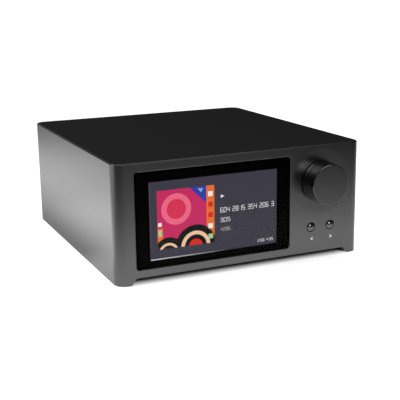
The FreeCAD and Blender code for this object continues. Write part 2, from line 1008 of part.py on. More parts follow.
def make_top_plate():
    body = new_body("top_plate")
    plan = sketch(body, "XY_Plane", "top_plate_plan", plate_base)
    loss = 2 * (s.rim_width + s.plate_gap)
    radius = s.corner_radius - s.rim_width - s.plate_gap
    rounded(plan, 0, 0, s.casing_width - loss, s.casing_depth - loss, radius)
    pad(body, plan, s.plate_thickness)
    keep("top_plate", body)


def make_feet():
    feet = [
        rod(f"foot_{index}", x, y, 0, s.foot_radius, s.foot_thickness)
        for index, (x, y) in enumerate(foot_places())
    ]
    keep("rubber_feet", group("rubber_feet", *feet))


def make_tray():
    """The steel tray: a floor with two rows of vents and an upright flange along each side."""
    body = new_body("tray_floor")
    plan = sketch(body, "XY_Plane", "tray_plan", s.tray_base)
    width = 2 * (inner_half_width - s.tray_gap)
    depth = s.casing_depth - s.front_wall - s.rear_wall - 2 * s.tray_gap
    rounded(plan, 0, (s.front_wall - s.rear_wall) / 2, width, depth, inner_radius)
    pad(body, plan, s.sheet_thickness)
    flanges = []
    for side in (-1, 1):
        x = side * (inner_half_width - s.tray_gap - s.sheet_thickness / 2)
        y = -s.flange_half_length
        flange = (x, y, tray_top, s.sheet_thickness, 2 * s.flange_half_length, s.flange_height)
        flanges.append(middle_box(f"tray_flange_{side + 1}", *flange))
    tools = []
    for index, (x, y) in enumerate(tray_screw_places()):
        radius = s.screw_radius + s.thread_gap
        tools.append(rod(f"tray_tap_{index}", x, y, s.tray_base, radius, s.sheet_thickness))
    for row, middle in enumerate((s.vent_front_y, s.vent_rear_y)):
        for index in range(VENTS_IN_ROW):
            x = (index - (VENTS_IN_ROW - 1) / 2) * s.vent_pitch
            y = middle - s.vent_length / 2
            name = f"vent_{row}_{index}"
            tools.append(middle_box(name, x, y, s.tray_base, s.vent_width, s.vent_length, s.sheet_thickness))
    keep("base_tray", cut("base_tray", fuse("tray_whole", body, *flanges), *tools))


def make_rear_panel():
    """The steel rear panel, with a hole for each terminal and socket."""
    body = new_body("rear_panel")
    low = tray_top + s.tray_gap
    high = s.casing_height - s.window_top + s.panel_rise
    width = s.casing_width - 2 * (s.window_side - s.panel_overlap)
    plate = sketch_facing(body, "panel_plate", rear_inside)
    rectangle(plate, 0, (low + high) / 2, width, high - low)
    pad(body, plate, s.sheet_thickness)
    holes = sketch_facing(body, "panel_holes", panel_inside)
    for x, z in panel_screw_places():
        circle(holes, x, z, s.screw_radius + s.thread_gap)
    for index in range(len(POSTS)):
        circle(holes, post_x(index), s.post_z, s.post_sleeve_radius + s.fit_gap)
    for x, z in phono_places():
        circle(holes, x, z, s.phono_shell_radius + s.fit_gap)
    for x, z in jack_places():
        circle(holes, x, z, s.jack_barrel_radius + s.fit_gap)
    loose = 2 * s.fit_gap
    rectangle(holes, inlet_x, s.inlet_z, s.inlet_body_width + loose, s.inlet_body_height + loose)
    rectangle(holes, rocker_x, s.rocker_z, s.switch_body_width + loose, s.switch_body_height + loose)
    sockets = (
        ("optical", s.optical_width, s.optical_height),
        ("video", s.video_width, s.video_height),
        ("serial", s.serial_width, s.serial_height),
        ("network", s.network_width, s.network_height),
    )
    for name, socket_width, socket_height in sockets:
        z = main_board_top + socket_height / 2
        rectangle(holes, socket_x(name), z, socket_width + loose, socket_height + loose)
    pocket(body, holes, s.sheet_thickness)
    keep("rear_panel", body)


def make_outer_screws():
    seat = s.foot_proud + s.head_height + s.foot_proud
    tray = [
        screw(f"tray_screw_{index}", x, y, seat, s.tray_screw_length, "down")
        for index, (x, y) in enumerate(tray_screw_places())
    ]
    panel = [
        screw(f"panel_screw_{index}", x, rear, z, s.panel_screw_length, "rear")
        for index, (x, z) in enumerate(panel_screw_places())
    ]
    keep("outer_screws", group("outer_screws", *tray, *panel))


# Display


def make_display():
    glass = new_body("cover_glass")
    glass_back = ledge_plane - s.gasket_thickness
    face = sketch_facing(glass, "glass_face", glass_back)
    rounded(face, s.glass_centre_x, glass_z, s.glass_width, glass_height, s.glass_radius)
    pad(glass, face, s.glass_thickness)
    keep("cover_glass", glass)

    gasket = new_body("display_gasket")
    ring = sketch_facing(gasket, "gasket_ring", ledge_plane)
    rounded(ring, s.glass_centre_x, glass_z, s.glass_width, glass_height, s.glass_radius)
    rectangle(ring, s.screen_centre_x, screen_z, s.screen_width, s.screen_height)
    pad(gasket, ring, s.gasket_thickness)
    keep("display_gasket", gasket)

    x, z = s.screen_centre_x, screen_z
    cell_width = opening_width - 2 * s.cell_gap
    cell_height = opening_height - 2 * s.cell_gap
    cell = facing_box("display_cell", x, ledge_plane, z, cell_width, front_inside - ledge_plane, cell_height)
    keep("display_cell", cell)
    can_height = opening_height + 2 * s.backlight_lap
    can = facing_box("display_backlight", x, front_inside, z, can_width, s.backlight_thickness, can_height)
    keep("display_backlight", can)

    width = 2 * (boss_reach + s.bracket_margin)
    sheet_size = (width, s.bracket_thickness, s.bracket_height)
    sheet_part = facing_box("bracket_sheet", x, bracket_front, z, *sheet_size)
    pips = []
    for index, (side, end) in enumerate(corner_signs()):
        pip_x = x + side * (s.driver_width / 2 - s.pip_inset)
        pip_z = z + end * (s.driver_height / 2 - s.pip_inset)
        pips.append(rod(f"bracket_pip_{index}", pip_x, bracket_back, pip_z, s.pip_radius, s.pip_height, "y"))
    holes = []
    for index, (hole_x, hole_z) in enumerate(bracket_boss_places()):
        radius = s.screw_radius + s.screw_clearance
        name = f"bracket_hole_{index}"
        holes.append(rod(name, hole_x, bracket_front, hole_z, radius, s.bracket_thickness, "y"))
    keep("display_bracket", cut("display_bracket", fuse("bracket_whole", sheet_part, *pips), *holes))
    driver = (x, driver_front, z, s.driver_width, s.board_thickness, s.driver_height)
    keep("display_driver_board", facing_box("display_driver_board", *driver))


def make_ribbons():
    """Flat ribbons from the display and the control board to the main board."""
    runs = (
        ("display", s.screen_centre_x, driver_front + s.board_thickness, s.display_ribbon_width),
        ("control", s.knob_x, front_board_back, s.control_ribbon_width),
    )
    ribbons = []
    for name, x, start, width in runs:
        length = s.main_board_front + s.ribbon_overlap - start
        run = (x, start, main_board_top, width, length, s.ribbon_thickness)
        ribbons.append(middle_box(f"{name}_ribbon", *run))
    keep("ribbons", group("ribbons", *ribbons))


# Knob and encoder


def make_knob():
    """Knob distances run along Y from the front plane; negative is towards the viewer."""
    crown = -s.knob_reach
    seat = crown + s.face_thickness
    ceiling = seat + s.knob_crown
    back = -s.knob_gap
    rim_front = back - s.knob_rim_length
    groove_front = rim_front - s.knob_groove_width
    groove_radius = s.knob_rim_radius - s.knob_groove_depth
    inner = s.knob_rim_radius - s.knob_wall
    face_radius = s.knob_face_radius - s.knob_chamfer
    bore = s.shaft_radius + s.running_gap
    hub_back = bush_front - front - s.knob_travel - s.hub_gap
    bore_end = hub_back - s.shaft_socket
    corners = [
        (bore, hub_back),
        (s.hub_radius, hub_back),
        (s.hub_radius, ceiling),
        (inner, ceiling),
        (inner, back),
        (s.knob_rim_radius, back),
        (s.knob_rim_radius, rim_front),
        (groove_radius, rim_front),
        (groove_radius, groove_front),
        (s.knob_waist_radius, groove_front),
        (s.knob_face_radius, crown + s.knob_chamfer),
        (face_radius, crown),
        (face_radius, seat),
        (0, seat),
        (0, bore_end),
        (bore, bore_end),
    ]
    keep("knob_body", turned_along_y("knob_body", s.knob_x, front, knob_z, corners))
    disc_radius = face_radius - s.running_gap
    disc = rod("knob_face", s.knob_x, front + crown, knob_z, disc_radius, s.face_thickness, "y")
    keep("knob_face", disc)
    shaft_end = front_inside + s.encoder_wall
    shaft = (s.knob_x, front + bore_end, knob_z, s.shaft_radius, shaft_end - front - bore_end, "y")
    keep("encoder_shaft", rod("encoder_shaft", *shaft))


def make_encoder():
    """The housing with its threaded bush; its pocket lets the plunger slide back when the knob is pressed."""
    x, z = s.knob_x, knob_z
    case = facing_box("encoder_case", x, front_inside, z, s.encoder_width, s.encoder_depth, s.encoder_width)
    bush = rod("encoder_bush", x, bush_front, z, s.bush_radius, front_inside - bush_front, "y")
    shaft_radius = s.shaft_radius + s.running_gap
    pocket_front = front_inside + s.encoder_wall
    bore = rod("encoder_bore", x, bush_front, z, shaft_radius, pocket_front - bush_front, "y")
    well_depth = s.encoder_depth - 2 * s.encoder_wall
    well = rod("encoder_well", x, pocket_front, z, s.plunger_radius + s.running_gap, well_depth, "y")
    keep("encoder_housing", cut("encoder_housing", fuse("encoder_solid", case, bush), bore, well))
    plunger = rod("encoder_plunger", x, pocket_front, z, s.plunger_radius, s.plunger_thickness, "y")
    keep("encoder_plunger", plunger)
    blank = six_sided("encoder_nut_blank", x, nut_front, z, s.nut_width, s.nut_thickness, "y")
    hole = rod("encoder_nut_hole", x, nut_front, z, s.bush_radius + s.thread_gap, s.nut_thickness, "y")
    keep("encoder_nut", cut("encoder_nut", blank, hole))


# Buttons and their board


def make_button(label, x):
    """A domed button with a collar behind the front wall and a stem into its key."""
    shoulder = s.front_wall
    collar_back = shoulder + s.collar_thickness
    tip = s.front_wall + s.encoder_depth - s.key_depth + s.stem_engagement
    dome_radius = (square(s.button_radius) + square(s.button_crown)) / (2 * s.button_crown)
    corners = [
        (0, -s.button_reach, dome_radius),
        (s.button_radius, s.button_crown - s.button_reach),
        (s.button_radius, shoulder),
        (s.collar_radius, shoulder),
        (s.collar_radius, collar_back),
        (s.stem_radius, collar_back),
        (s.stem_radius, tip),
        (0, tip),
    ]
    keep(label, turned_along_y(label, x, front, s.button_z, corners))


def make_front_board():
    keys = []
    key_front = encoder_back - s.key_depth
    well_depth = s.stem_engagement + s.button_travel + s.tapped_spare
    for name, x in (("near", s.button_near_x), ("far", s.button_far_x)):
        case = facing_box(f"{name}_key_case", x, key_front, s.button_z, s.key_width, s.key_depth, s.key_width)
        radius = s.stem_radius + s.running_gap
        well = rod(f"{name}_key_well", x, key_front, s.button_z, radius, well_depth, "y")
        keys.append(cut(f"{name}_key", case, well))
    keep("key_bodies", group("key_bodies", *keys))
    width = s.front_board_right - s.front_board_left
    height = front_board_high - s.front_board_low
    low = (s.front_board_left, encoder_back, s.front_board_low)
    plain = box("front_board_plain", *low, width, s.board_thickness, height)
    holes = []
    for index, (x, z) in enumerate(board_boss_places()):
        radius = s.screw_radius + s.screw_clearance
        holes.append(rod(f"front_board_hole_{index}", x, encoder_back, z, radius, s.board_thickness, "y"))
    keep("front_board", cut("front_board", plain, *holes))


# Boards, power supply and amplifier


def make_board(label, left, right, low_y, high_y, base, places, *extra):
    """A board with a clearance hole at each place, and anything extra fused on."""
    plain = box(label + "_plain", left, low_y, base, right - left, high_y - low_y, s.board_thickness)
    if extra:
        plain = fuse(label + "_whole", plain, *extra)
    radius = s.screw_radius + s.screw_clearance
    holes = [
        rod(f"{label}_hole_{index}", x, y, base, radius, s.board_thickness)
        for index, (x, y) in enumerate(places)
    ]
    keep(label, cut(label, plain, *holes))


def make_tray_boards():
    places = short_standoff_places()
    spans = tray_board_spans()
    for label, (left, right), own in (
        ("power_board", spans[0], places[:4]),
        ("amplifier_board", spans[1], places[4:]),
    ):
        make_board(label, left, right, s.board_front, board_rear, board_base, own)


def make_standoffs():
    """Hexagonal standoffs, tapped from the top: short under the tray boards, tall under the main board."""
    made = []
    depth = s.inner_screw_length - s.board_thickness + s.tapped_spare
    runs = [(place, s.short_standoff) for place in short_standoff_places()]
    runs += [(place, main_board_base - tray_top) for place in tall_standoff_places()]
    for index, ((x, y), height) in enumerate(runs):
        blank = six_sided(f"standoff_blank_{index}", x, y, tray_top, 2 * s.board_boss_radius, height)
        radius = s.screw_radius + s.thread_gap
        hole = rod(f"standoff_tap_{index}", x, y, tray_top + height - depth, radius, depth)
        made.append(cut(f"standoff_{index}", blank, hole))
    keep("standoffs", group("standoffs", *made))


def make_inner_screws():
    """Every inner screw is the same: display bracket, front board and the three level boards."""
    length = s.inner_screw_length
    made = []
    for index, (x, z) in enumerate(bracket_boss_places()):
        made.append(screw(f"bracket_screw_{index}", x, bracket_back, z, length, "rear"))
    for index, (x, z) in enumerate(board_boss_places()):
        made.append(screw(f"front_board_screw_{index}", x, front_board_back, z, length, "rear"))
    for index, (x, y) in enumerate(short_standoff_places()):
        made.append(screw(f"tray_board_screw_{index}", x, y, board_top, length, "up"))
    for index, (x, y) in enumerate(tall_standoff_places()):
        made.append(screw(f"main_board_screw_{index}", x, y, main_board_top, length, "up"))
    keep("inner_screws", group("inner_screws", *made))


def make_transformer():
    """A ferrite core with two windows, and the winding round its middle leg."""
    x, y = s.transformer_x, s.transformer_y
    low_y = y - s.core_length / 2
    outside = middle_box("core_outside", x, low_y, board_top, s.core_width, s.core_length, core_height)
    side_leg = s.core_leg / 2
    window_width = (s.core_width - s.core_leg - 2 * side_leg) / 2
    window_height = core_height - 2 * side_leg
    windows = []
    for side in (-1, 1):
        middle = x + side * (s.core_leg + window_width) / 2
        window = (middle, low_y, board_top + side_leg, window_width, s.core_length, window_height)
        windows.append(middle_box(f"core_window_{side + 1}", *window))
    keep("transformer_core", cut("transformer_core", outside, *windows))
    inner_width = s.core_leg + 2 * s.winding_gap
    inner_length = s.core_length + 2 * s.winding_gap
    outer_width = inner_width + 2 * s.winding_thickness
    outer_length = inner_length + 2 * s.winding_thickness
    height = window_height - 2 * s.winding_gap
    base = board_top + side_leg + s.winding_gap
    coil = middle_box("winding_outside", x, y - outer_length / 2, base, outer_width, outer_length, height)
    hole = middle_box("winding_hole", x, y - inner_length / 2, base, inner_width, inner_length, height)
    keep("transformer_winding", cut("transformer_winding", coil, hole))


def make_capacitors():
    made = []
    for side in (-1, 1):
        x = s.bulk_x + side * s.bulk_pitch / 2
        made.append(rod(f"bulk_capacitor_{side + 1}", x, s.bulk_y, board_top, s.bulk_radius, bulk_height))
    for index in range(COILS):
        x = coil_x(index)
        name = f"filter_capacitor_{index}"
        made.append(rod(name, x, s.filter_y, board_top, s.filter_radius, s.filter_height))
    keep("capacitors", group("capacitors", *made))


def coil_x(index):
    return s.fin_block_x + (index - (COILS - 1) / 2) * s.coil_pitch


def finned(label, x, y, z, width, depth, height, base, count):
    """A heat sink centred on x and y: a base plate with upright fins that run front to rear."""
    low_y = y - depth / 2
    made = [middle_box(label + "_base", x, low_y, z, width, depth, base)]
    pitch = (width - s.fin_thickness) / (count - 1)
    for index in range(count):
        fin_x = x - width / 2 + index * pitch
        fin = (fin_x, low_y, z, s.fin_thickness, depth, height)
        made.append(box(f"{label}_fin_{index}", *fin))
    keep(label, fuse(label, *made))


def make_amplifier():
    x, y = s.fin_block_x, s.fin_block_y
    chips = []
    for side in (-1, 1):
        place = (x + side * s.chip_pitch / 2, y - s.chip_width / 2, board_top)
        chip_size = (s.chip_width, s.chip_width, s.chip_height)
        chips.append(middle_box(f"amplifier_chip_{side + 1}", *place, *chip_size))
    keep("amplifier_chips", group("amplifier_chips", *chips))
    block = (s.fin_block_width, s.fin_block_depth, fin_block_height, s.fin_block_base)
    finned("amplifier_heat_sink", x, y, board_top + s.chip_height, *block, AMPLIFIER_FINS)
    coil_size = (s.coil_radius, s.coil_hole_radius, s.coil_height)
    coils = [tube(f"coil_{index}", coil_x(index), s.coil_y, board_top, *coil_size) for index in range(COILS)]
    keep("output_coils", group("output_coils", *coils))


def make_main_board():
    width = s.processor_width
    chip_place = (s.processor_x, s.processor_y - width / 2, main_board_top)
    chip = middle_box("processor_chip", *chip_place, width, width, s.processor_height)
    high_y = rear_inside - s.main_board_rear_gap
    span = (-main_half_width, main_half_width, s.main_board_front, high_y, main_board_base)
    make_board("main_board", *span, tall_standoff_places(), chip)
    block = (s.cooler_width, s.cooler_width, s.cooler_height, s.cooler_base)
    cooler_z = main_board_top + s.processor_height
    finned("processor_cooler", s.processor_x, s.processor_y, cooler_z, *block, COOLER_FINS)
    radio_place = (s.radio_x, s.radio_y - s.radio_length / 2, main_board_top)
    radio = middle_box("radio_module", *radio_place, s.radio_width, s.radio_length, s.radio_height)
    keep("radio_module", radio)


# Mains inlet and rocker switch


def pin_places():
    """Live, neutral and earth pins."""
    low = s.inlet_z - s.pin_offset
    high = s.inlet_z + s.pin_offset
    return [(inlet_x - s.pin_spacing, low), (inlet_x + s.pin_spacing, low), (inlet_x, high)]


def make_inlet():
    body = new_body("mains_inlet")
    x, z = inlet_x, s.inlet_z
    outer = rear_inside + s.inlet_flange_thickness
    flange = sketch_facing(body, "inlet_flange", outer)
    rectangle(flange, x, z, s.inlet_flange_width, s.inlet_flange_height)
    pad(body, flange, s.inlet_flange_thickness)
    trunk = sketch_facing(body, "inlet_trunk", rear_inside)
    rectangle(trunk, x, z, s.inlet_body_width, s.inlet_body_height)
    pad(body, trunk, s.inlet_body_depth)
    cavity_floor = outer - s.inlet_cavity_depth
    cavity = sketch_facing(body, "inlet_cavity", cavity_floor)
    left = x - s.inlet_cavity_width / 2
    right = x + s.inlet_cavity_width / 2
    low = z - s.inlet_cavity_height / 2
    high = z + s.inlet_cavity_height / 2
    bevel = s.inlet_cavity_bevel
    outline(
        cavity,
        [
            (left, low),
            (right, low),
            (right, high - bevel),
            (right - bevel, high),
            (left + bevel, high),
            (left, high - bevel),
        ],
    )
    pocket(body, cavity, s.inlet_cavity_depth)
    back = rear_inside - s.inlet_body_depth
    slots = sketch_facing(body, "pin_slots", back)
    for pin_x, pin_z in pin_places():
        rectangle(slots, pin_x, pin_z, s.pin_width + 2 * s.fit_gap, s.pin_height + 2 * s.fit_gap)
    pocket(body, slots, cavity_floor - back)
    keep("mains_inlet", body)

    strips = []
    strip_front = back - s.terminal_thickness
    for index, (pin_x, pin_z) in enumerate(pin_places()):
        length = cavity_floor + s.pin_length - strip_front
        pin = facing_box(f"pin_{index}", pin_x, strip_front, pin_z, s.pin_width, length, s.pin_height)
        strip_place = (pin_x, strip_front, board_top)
        strip_size = (s.terminal_width, s.terminal_thickness, pin_z - board_top)
        strip = middle_box(f"pin_strip_{index}", *strip_place, *strip_size)
        strips.append(fuse(f"pin_terminal_{index}", pin, strip))
    switch_back = rear_inside - s.switch_body_depth
    for side in (-1, 1):
        tab_place = (rocker_x + side * s.switch_tab_spacing, switch_back - s.terminal_thickness, board_top)
        tab_size = (s.terminal_width, s.terminal_thickness, s.rocker_z - board_top)
        strips.append(middle_box(f"switch_tab_{side + 1}", *tab_place, *tab_size))
    keep("mains_terminals", group("mains_terminals", *strips))


def make_rocker_switch():
    x, z = rocker_x, s.rocker_z
    bezel_face = rear_inside + s.bezel_thickness
    bezel = facing_box("switch_bezel", x, rear_inside, z, s.bezel_width, s.bezel_thickness, s.bezel_height)
    trunk_place = (x, rear_inside - s.switch_body_depth, z)
    trunk_size = (s.switch_body_width, s.switch_body_depth, s.switch_body_height)
    trunk = facing_box("switch_trunk", *trunk_place, *trunk_size)
    well_size = (s.rocker_opening_width, s.rocker_opening_depth, s.rocker_opening_height)
    well = facing_box("switch_well", x, bezel_face - s.rocker_opening_depth, z, *well_size)
    pivot_y = bezel_face - s.rocker_pivot_depth
    seat_radius = s.rocker_pin_radius + s.running_gap
    seat = rod("pivot_seat", x - s.switch_body_width / 2, pivot_y, z, seat_radius, s.switch_body_width, "x")
    keep("switch_housing", cut("switch_housing", fuse("switch_solid", bezel, trunk), well, seat))

    # The rocker is drawn level about its pivot, then tilted onto its stop
    body = new_body("rocker")
    side = sketch(body, "YZ_Plane", "rocker_side", -s.rocker_width / 2)
    half = s.rocker_height / 2
    back_half = half - s.rocker_back_narrowing
    outline(
        side,
        [
            (-s.rocker_back, -back_half),
            (s.rocker_front, -half),
            (s.rocker_front - s.rocker_hollow, 0),
            (s.rocker_front, half),
            (-s.rocker_back, back_half),
        ],
    )
    pad(body, side, s.rocker_width)
    pins = sketch(body, "YZ_Plane", "rocker_pins", -s.rocker_width / 2 - s.rocker_pin_length)
    circle(pins, 0, 0, s.rocker_pin_radius)
    pad(body, pins, s.rocker_width + 2 * s.rocker_pin_length)
    turn(body, (1, 0, 0), number(s.rocker_tilt))
    body.setExpression("Placement.Rotation.Angle", words(s.rocker_tilt))
    put(body, x, pivot_y, z)
    keep("rocker", body)


# Loudspeaker terminals


def make_posts():
    """Stem distances run along Y from the panel's outer face."""
    bore = s.stem_outer_radius + s.running_gap
    stem_end = cap_end - s.stem_recess - rear_inside
    bore_end = stem_end - s.banana_depth
    tail = -s.sheet_thickness - s.stem_tail
    sleeve_end = -s.sheet_thickness - s.post_sleeve_length
    stems = []
    bases = []
    for index, name in enumerate(POSTS):
        x = post_x(index)
        stem = turned_along_y(
            f"stem_{name}",
            x,
            rear_inside,
            s.post_z,
            [
                (s.banana_radius, stem_end),
                (s.banana_radius, bore_end),
                (0, bore_end),
                (0, tail),
                (s.stem_outer_radius, tail),
                (s.stem_outer_radius, stem_end),
            ],
        )
        strip_place = (x, rear_inside + tail, board_top)
        strip_size = (s.leg_strip_width, s.terminal_thickness, s.post_z - board_top)
        strip = middle_box(f"stem_strip_{name}", *strip_place, *strip_size)
        stems.append(fuse(f"stem_terminal_{name}", stem, strip))
        base = turned_along_y(
            f"base_{name}",
            x,
            rear_inside,
            s.post_z,
            [
                (bore, s.post_base_thickness),
                (bore, sleeve_end),
                (s.post_sleeve_radius, sleeve_end),
                (s.post_sleeve_radius, 0),
                (s.post_base_radius, 0),
                (s.post_base_radius, s.post_base_thickness),
            ],
        )
        bases.append(base)
    keep("post_stems", group("post_stems", *stems))
    keep("post_bases", group("post_bases", *bases))
    for index, name in enumerate(POSTS):
        clamp = (post_x(index), clamp_plane, s.post_z, s.clamp_radius, bore, s.clamp_thickness, "y")
        keep(f"clamp_{name}", tube(f"clamp_{name}", *clamp))
        make_cap(f"cap_{name}", post_x(index), bore)


def make_cap(label, x, bore):
    """A screw cap with a chamfer at each end and flutes all round for the fingers."""
    length = cap_end - cap_plane
    chamfered = s.cap_radius - s.cap_chamfer
    corners = [
        (bore, 0),
        (chamfered, 0),
        (s.cap_radius, s.cap_chamfer),
        (s.cap_radius, length - s.cap_chamfer),
        (chamfered, length),
        (bore, length),
    ]
    body = turned_along_y(label, x, cap_plane, s.post_z, corners)
    flute = sketch_facing(body, label + "_flute", 0)
    circle(flute, 0, s.cap_radius + s.flute_offset, s.flute_radius)
    cut_flute = pocket(body, flute, length)
    around = body.newObject("PartDesign::PolarPattern", label + "_flutes")
    around.Originals = [cut_flute]
    axis = [feature for feature in body.Origin.OriginFeatures if feature.Role == "Y_Axis"][0]
    around.Axis = (axis, [""])
    around.Angle = FULL_TURN
    around.Occurrences = FLUTES
    body.Tip = around
    doc.recompute()
    keep(label, body)


# Signal sockets on the main board


def make_phonos():
    middle_x = (phono_x(0) + phono_x(PHONO_COLUMNS - 1)) / 2
    block_place = (middle_x, panel_inside - s.phono_block_depth, main_board_top)
    block_size = (s.phono_block_width, s.phono_block_depth, s.phono_block_height)
    block = middle_box("phono_plain", *block_place, *block_size)
    seats = []
    shells = []
    cores = []
    inner_end = -s.sheet_thickness - s.phono_seat
    inner_radius_of_shell = s.phono_shell_radius - s.phono_shell_wall
    core_radius = inner_radius_of_shell - s.thread_gap
    core_end = s.phono_reach - s.phono_recess
    for index, (x, z) in enumerate(phono_places()):
        seat_radius = s.phono_shell_radius + s.fit_gap
        seat = (x, panel_inside - s.phono_seat, z, seat_radius, s.phono_seat, "y")
        seats.append(rod(f"phono_seat_{index}", *seat))
        shells.append(
            turned_along_y(
                f"phono_shell_{index}",
                x,
                rear_inside,
                z,
                [
                    (inner_radius_of_shell, inner_end),
                    (s.phono_shell_radius, inner_end),
                    (s.phono_shell_radius, 0),
                    (s.phono_flange_radius, 0),
                    (s.phono_flange_radius, s.phono_flange_thickness),
                    (s.phono_shell_radius, s.phono_flange_thickness),
                    (s.phono_shell_radius, s.phono_reach),
                    (inner_radius_of_shell, s.phono_reach),
                ],
            )
        )
        core = (x, rear_inside + inner_end, z, core_radius, core_end - inner_end, "y")
        solid = rod(f"phono_core_{index}", *core)
        contact_y = rear_inside + core_end - s.phono_contact_depth
        contact = (x, contact_y, z, s.phono_contact_radius, s.phono_contact_depth, "y")
        cores.append(cut(f"phono_insulator_{index}", solid, rod(f"phono_contact_{index}", *contact)))
    keep("phono_block", cut("phono_block", block, *seats))
    keep("phono_shells", group("phono_shells", *shells))
    keep("phono_insulators", group("phono_insulators", *cores))


def bevelled(item, across, up, width, height, bevel):
    """A rectangle whose two lower corners are cut off."""
    left = across - width / 2
    right = across + width / 2
    low = up - height / 2
    high = up + height / 2
    corners = [
        (left + bevel, low),
        (right - bevel, low),
        (right, low + bevel),
        (right, high),
        (left, high),
        (left, low + bevel),
    ]
    return outline(item, corners)


def make_video_socket():
    body = new_body("video_socket")
    x = socket_x("video")
    z = main_board_top + s.video_height / 2
    shell = sketch_facing(body, "video_shell", socket_face)
    bevelled(shell, x, z, s.video_width, s.video_height, s.video_bevel)
    pad(body, shell, s.video_depth)
    floor = socket_face - s.video_depth + s.socket_back
    mouth = sketch_facing(body, "video_mouth", floor)
    bevelled(mouth, x, z, s.video_opening_width, s.video_opening_height, s.video_bevel)
    pocket(body, mouth, s.video_depth - s.socket_back)
    tongue_face = socket_face - s.tongue_recess
    tongue = sketch_facing(body, "video_tongue", tongue_face)
    rectangle(tongue, x, z, s.video_tongue_width, s.video_tongue_height)
    pad(body, tongue, tongue_face - floor)
    keep("video_socket", body)


def make_serial_socket():
    body = new_body("serial_socket")
    x = socket_x("serial")
    z = main_board_top + s.serial_height / 2
    shell = sketch_facing(body, "serial_shell", socket_face)
    rectangle(shell, x, z, s.serial_width, s.serial_height)
    pad(body, shell, s.serial_depth)
    floor = socket_face - s.serial_depth + s.socket_back
    mouth = sketch_facing(body, "serial_mouth", floor)
    rectangle(mouth, x, z, s.serial_opening_width, s.serial_opening_height)
    pocket(body, mouth, s.serial_depth - s.socket_back)
    tongue_face = socket_face - s.tongue_recess
    tongue = sketch_facing(body, "serial_tongue", tongue_face)
    rectangle(tongue, x, z + s.serial_tongue_rise, s.serial_tongue_width, s.serial_tongue_height)
    pad(body, tongue, tongue_face - floor)
    keep("serial_socket", body)


def make_plain_sockets():
    """Optical and network sockets, and the small jacks."""
    optical_x = socket_x("optical")
    optical_z = main_board_top + s.optical_height / 2
    optical_size = (s.optical_width, s.optical_depth, s.optical_height)
    optical = facing_box("optical_case", optical_x, socket_face - s.optical_depth, optical_z, *optical_size)
    mouth_size = (s.optical_opening, s.optical_opening_depth, s.optical_opening)
    mouth_y = socket_face - s.optical_opening_depth
    mouth = facing_box("optical_mouth", optical_x, mouth_y, optical_z, *mouth_size)
    keep("optical_socket", cut("optical_socket", optical, mouth))

    network_x = socket_x("network")
    network_z = main_board_top + s.network_height / 2
    network_size = (s.network_width, s.network_depth, s.network_height)
    network = facing_box("network_case", network_x, socket_face - s.network_depth, network_z, *network_size)
    port_y = socket_face - s.network_opening_depth
    port_size = (s.network_opening_width, s.network_opening_depth, s.network_opening_height)
    port = facing_box("network_port", network_x, port_y, network_z, *port_size)
    latch_z = network_z - s.network_opening_height / 2 - s.network_latch_height
    latch_size = (s.network_latch_width, s.network_opening_depth, s.network_latch_height)
    latch = middle_box("network_latch", network_x, port_y, latch_z, *latch_size)
    keep("network_socket", cut("network_socket", network, port, latch))

    jacks = []
    for index, (x, z) in enumerate(jack_places()):
        case_size = (s.jack_width, s.jack_depth, s.jack_height)
        case = facing_box(f"jack_case_{index}", x, panel_inside - s.jack_depth, z, *case_size)
        barrel_length = socket_face - panel_inside
        barrel = rod(f"jack_barrel_{index}", x, panel_inside, z, s.jack_barrel_radius, barrel_length, "y")
        bore_y = socket_face - s.jack_bore_depth
        bore = rod(f"jack_bore_{index}", x, bore_y, z, s.jack_radius, s.jack_bore_depth, "y")
        jacks.append(cut(f"jack_{index}", fuse(f"jack_solid_{index}", case, barrel), bore))
    keep("jack_bodies", group("jack_bodies", *jacks))


# Build, check and export


def problems_found():
    found = []
    for item in doc.Objects:
        if "Invalid" in item.State or "Error" in item.State:
            found.append(f"{item.Label}: {item.State}")
    for item in nodes:
        if item.Shape.isNull() or not item.Shape.isValid() or not item.Shape.Solids:
            found.append(f"{item.Label}: no sound shape")
    return found


fill_sheet()
make_casing()
make_top_plate()
make_feet()
make_tray()
make_rear_panel()
make_outer_screws()
make_display()
make_ribbons()
make_knob()
make_encoder()
make_button("previous_button", s.button_near_x)
make_button("next_button", s.button_far_x)
make_front_board()
make_tray_boards()
make_standoffs()
make_inner_screws()
make_transformer()
make_capacitors()
make_amplifier()
make_main_board()
make_inlet()
make_rocker_switch()
make_posts()
make_phonos()
make_video_socket()
make_serial_socket()
make_plain_sockets()
doc.recompute()

problems = problems_found()
if problems:
    raise SystemExit("\n".join(problems))
os.makedirs("parts", exist_ok=True)
for node in nodes:
    node.Shape.exportStep(f"parts/{node.Label}.step")
print(f"{len(nodes)} sub-parts written")
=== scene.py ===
import json
import math

import bmesh
import bpy
from mathutils import Matrix, Vector


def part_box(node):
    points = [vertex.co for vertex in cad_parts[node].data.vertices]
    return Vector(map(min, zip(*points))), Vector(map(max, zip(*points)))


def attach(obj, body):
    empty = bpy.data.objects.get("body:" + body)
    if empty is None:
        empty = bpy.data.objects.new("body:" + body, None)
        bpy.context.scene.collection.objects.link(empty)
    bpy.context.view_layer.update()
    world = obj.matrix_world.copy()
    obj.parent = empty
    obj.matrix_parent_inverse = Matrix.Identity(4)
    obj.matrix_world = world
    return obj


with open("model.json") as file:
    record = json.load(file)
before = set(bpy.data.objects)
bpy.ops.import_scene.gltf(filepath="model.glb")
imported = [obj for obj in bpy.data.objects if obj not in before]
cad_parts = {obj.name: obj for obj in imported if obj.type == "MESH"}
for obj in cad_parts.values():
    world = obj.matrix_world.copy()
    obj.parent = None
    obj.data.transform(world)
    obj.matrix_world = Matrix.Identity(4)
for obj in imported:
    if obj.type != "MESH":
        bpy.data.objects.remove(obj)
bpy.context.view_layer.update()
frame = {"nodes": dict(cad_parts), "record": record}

MM = 0.001
CHASSIS = "chassis"


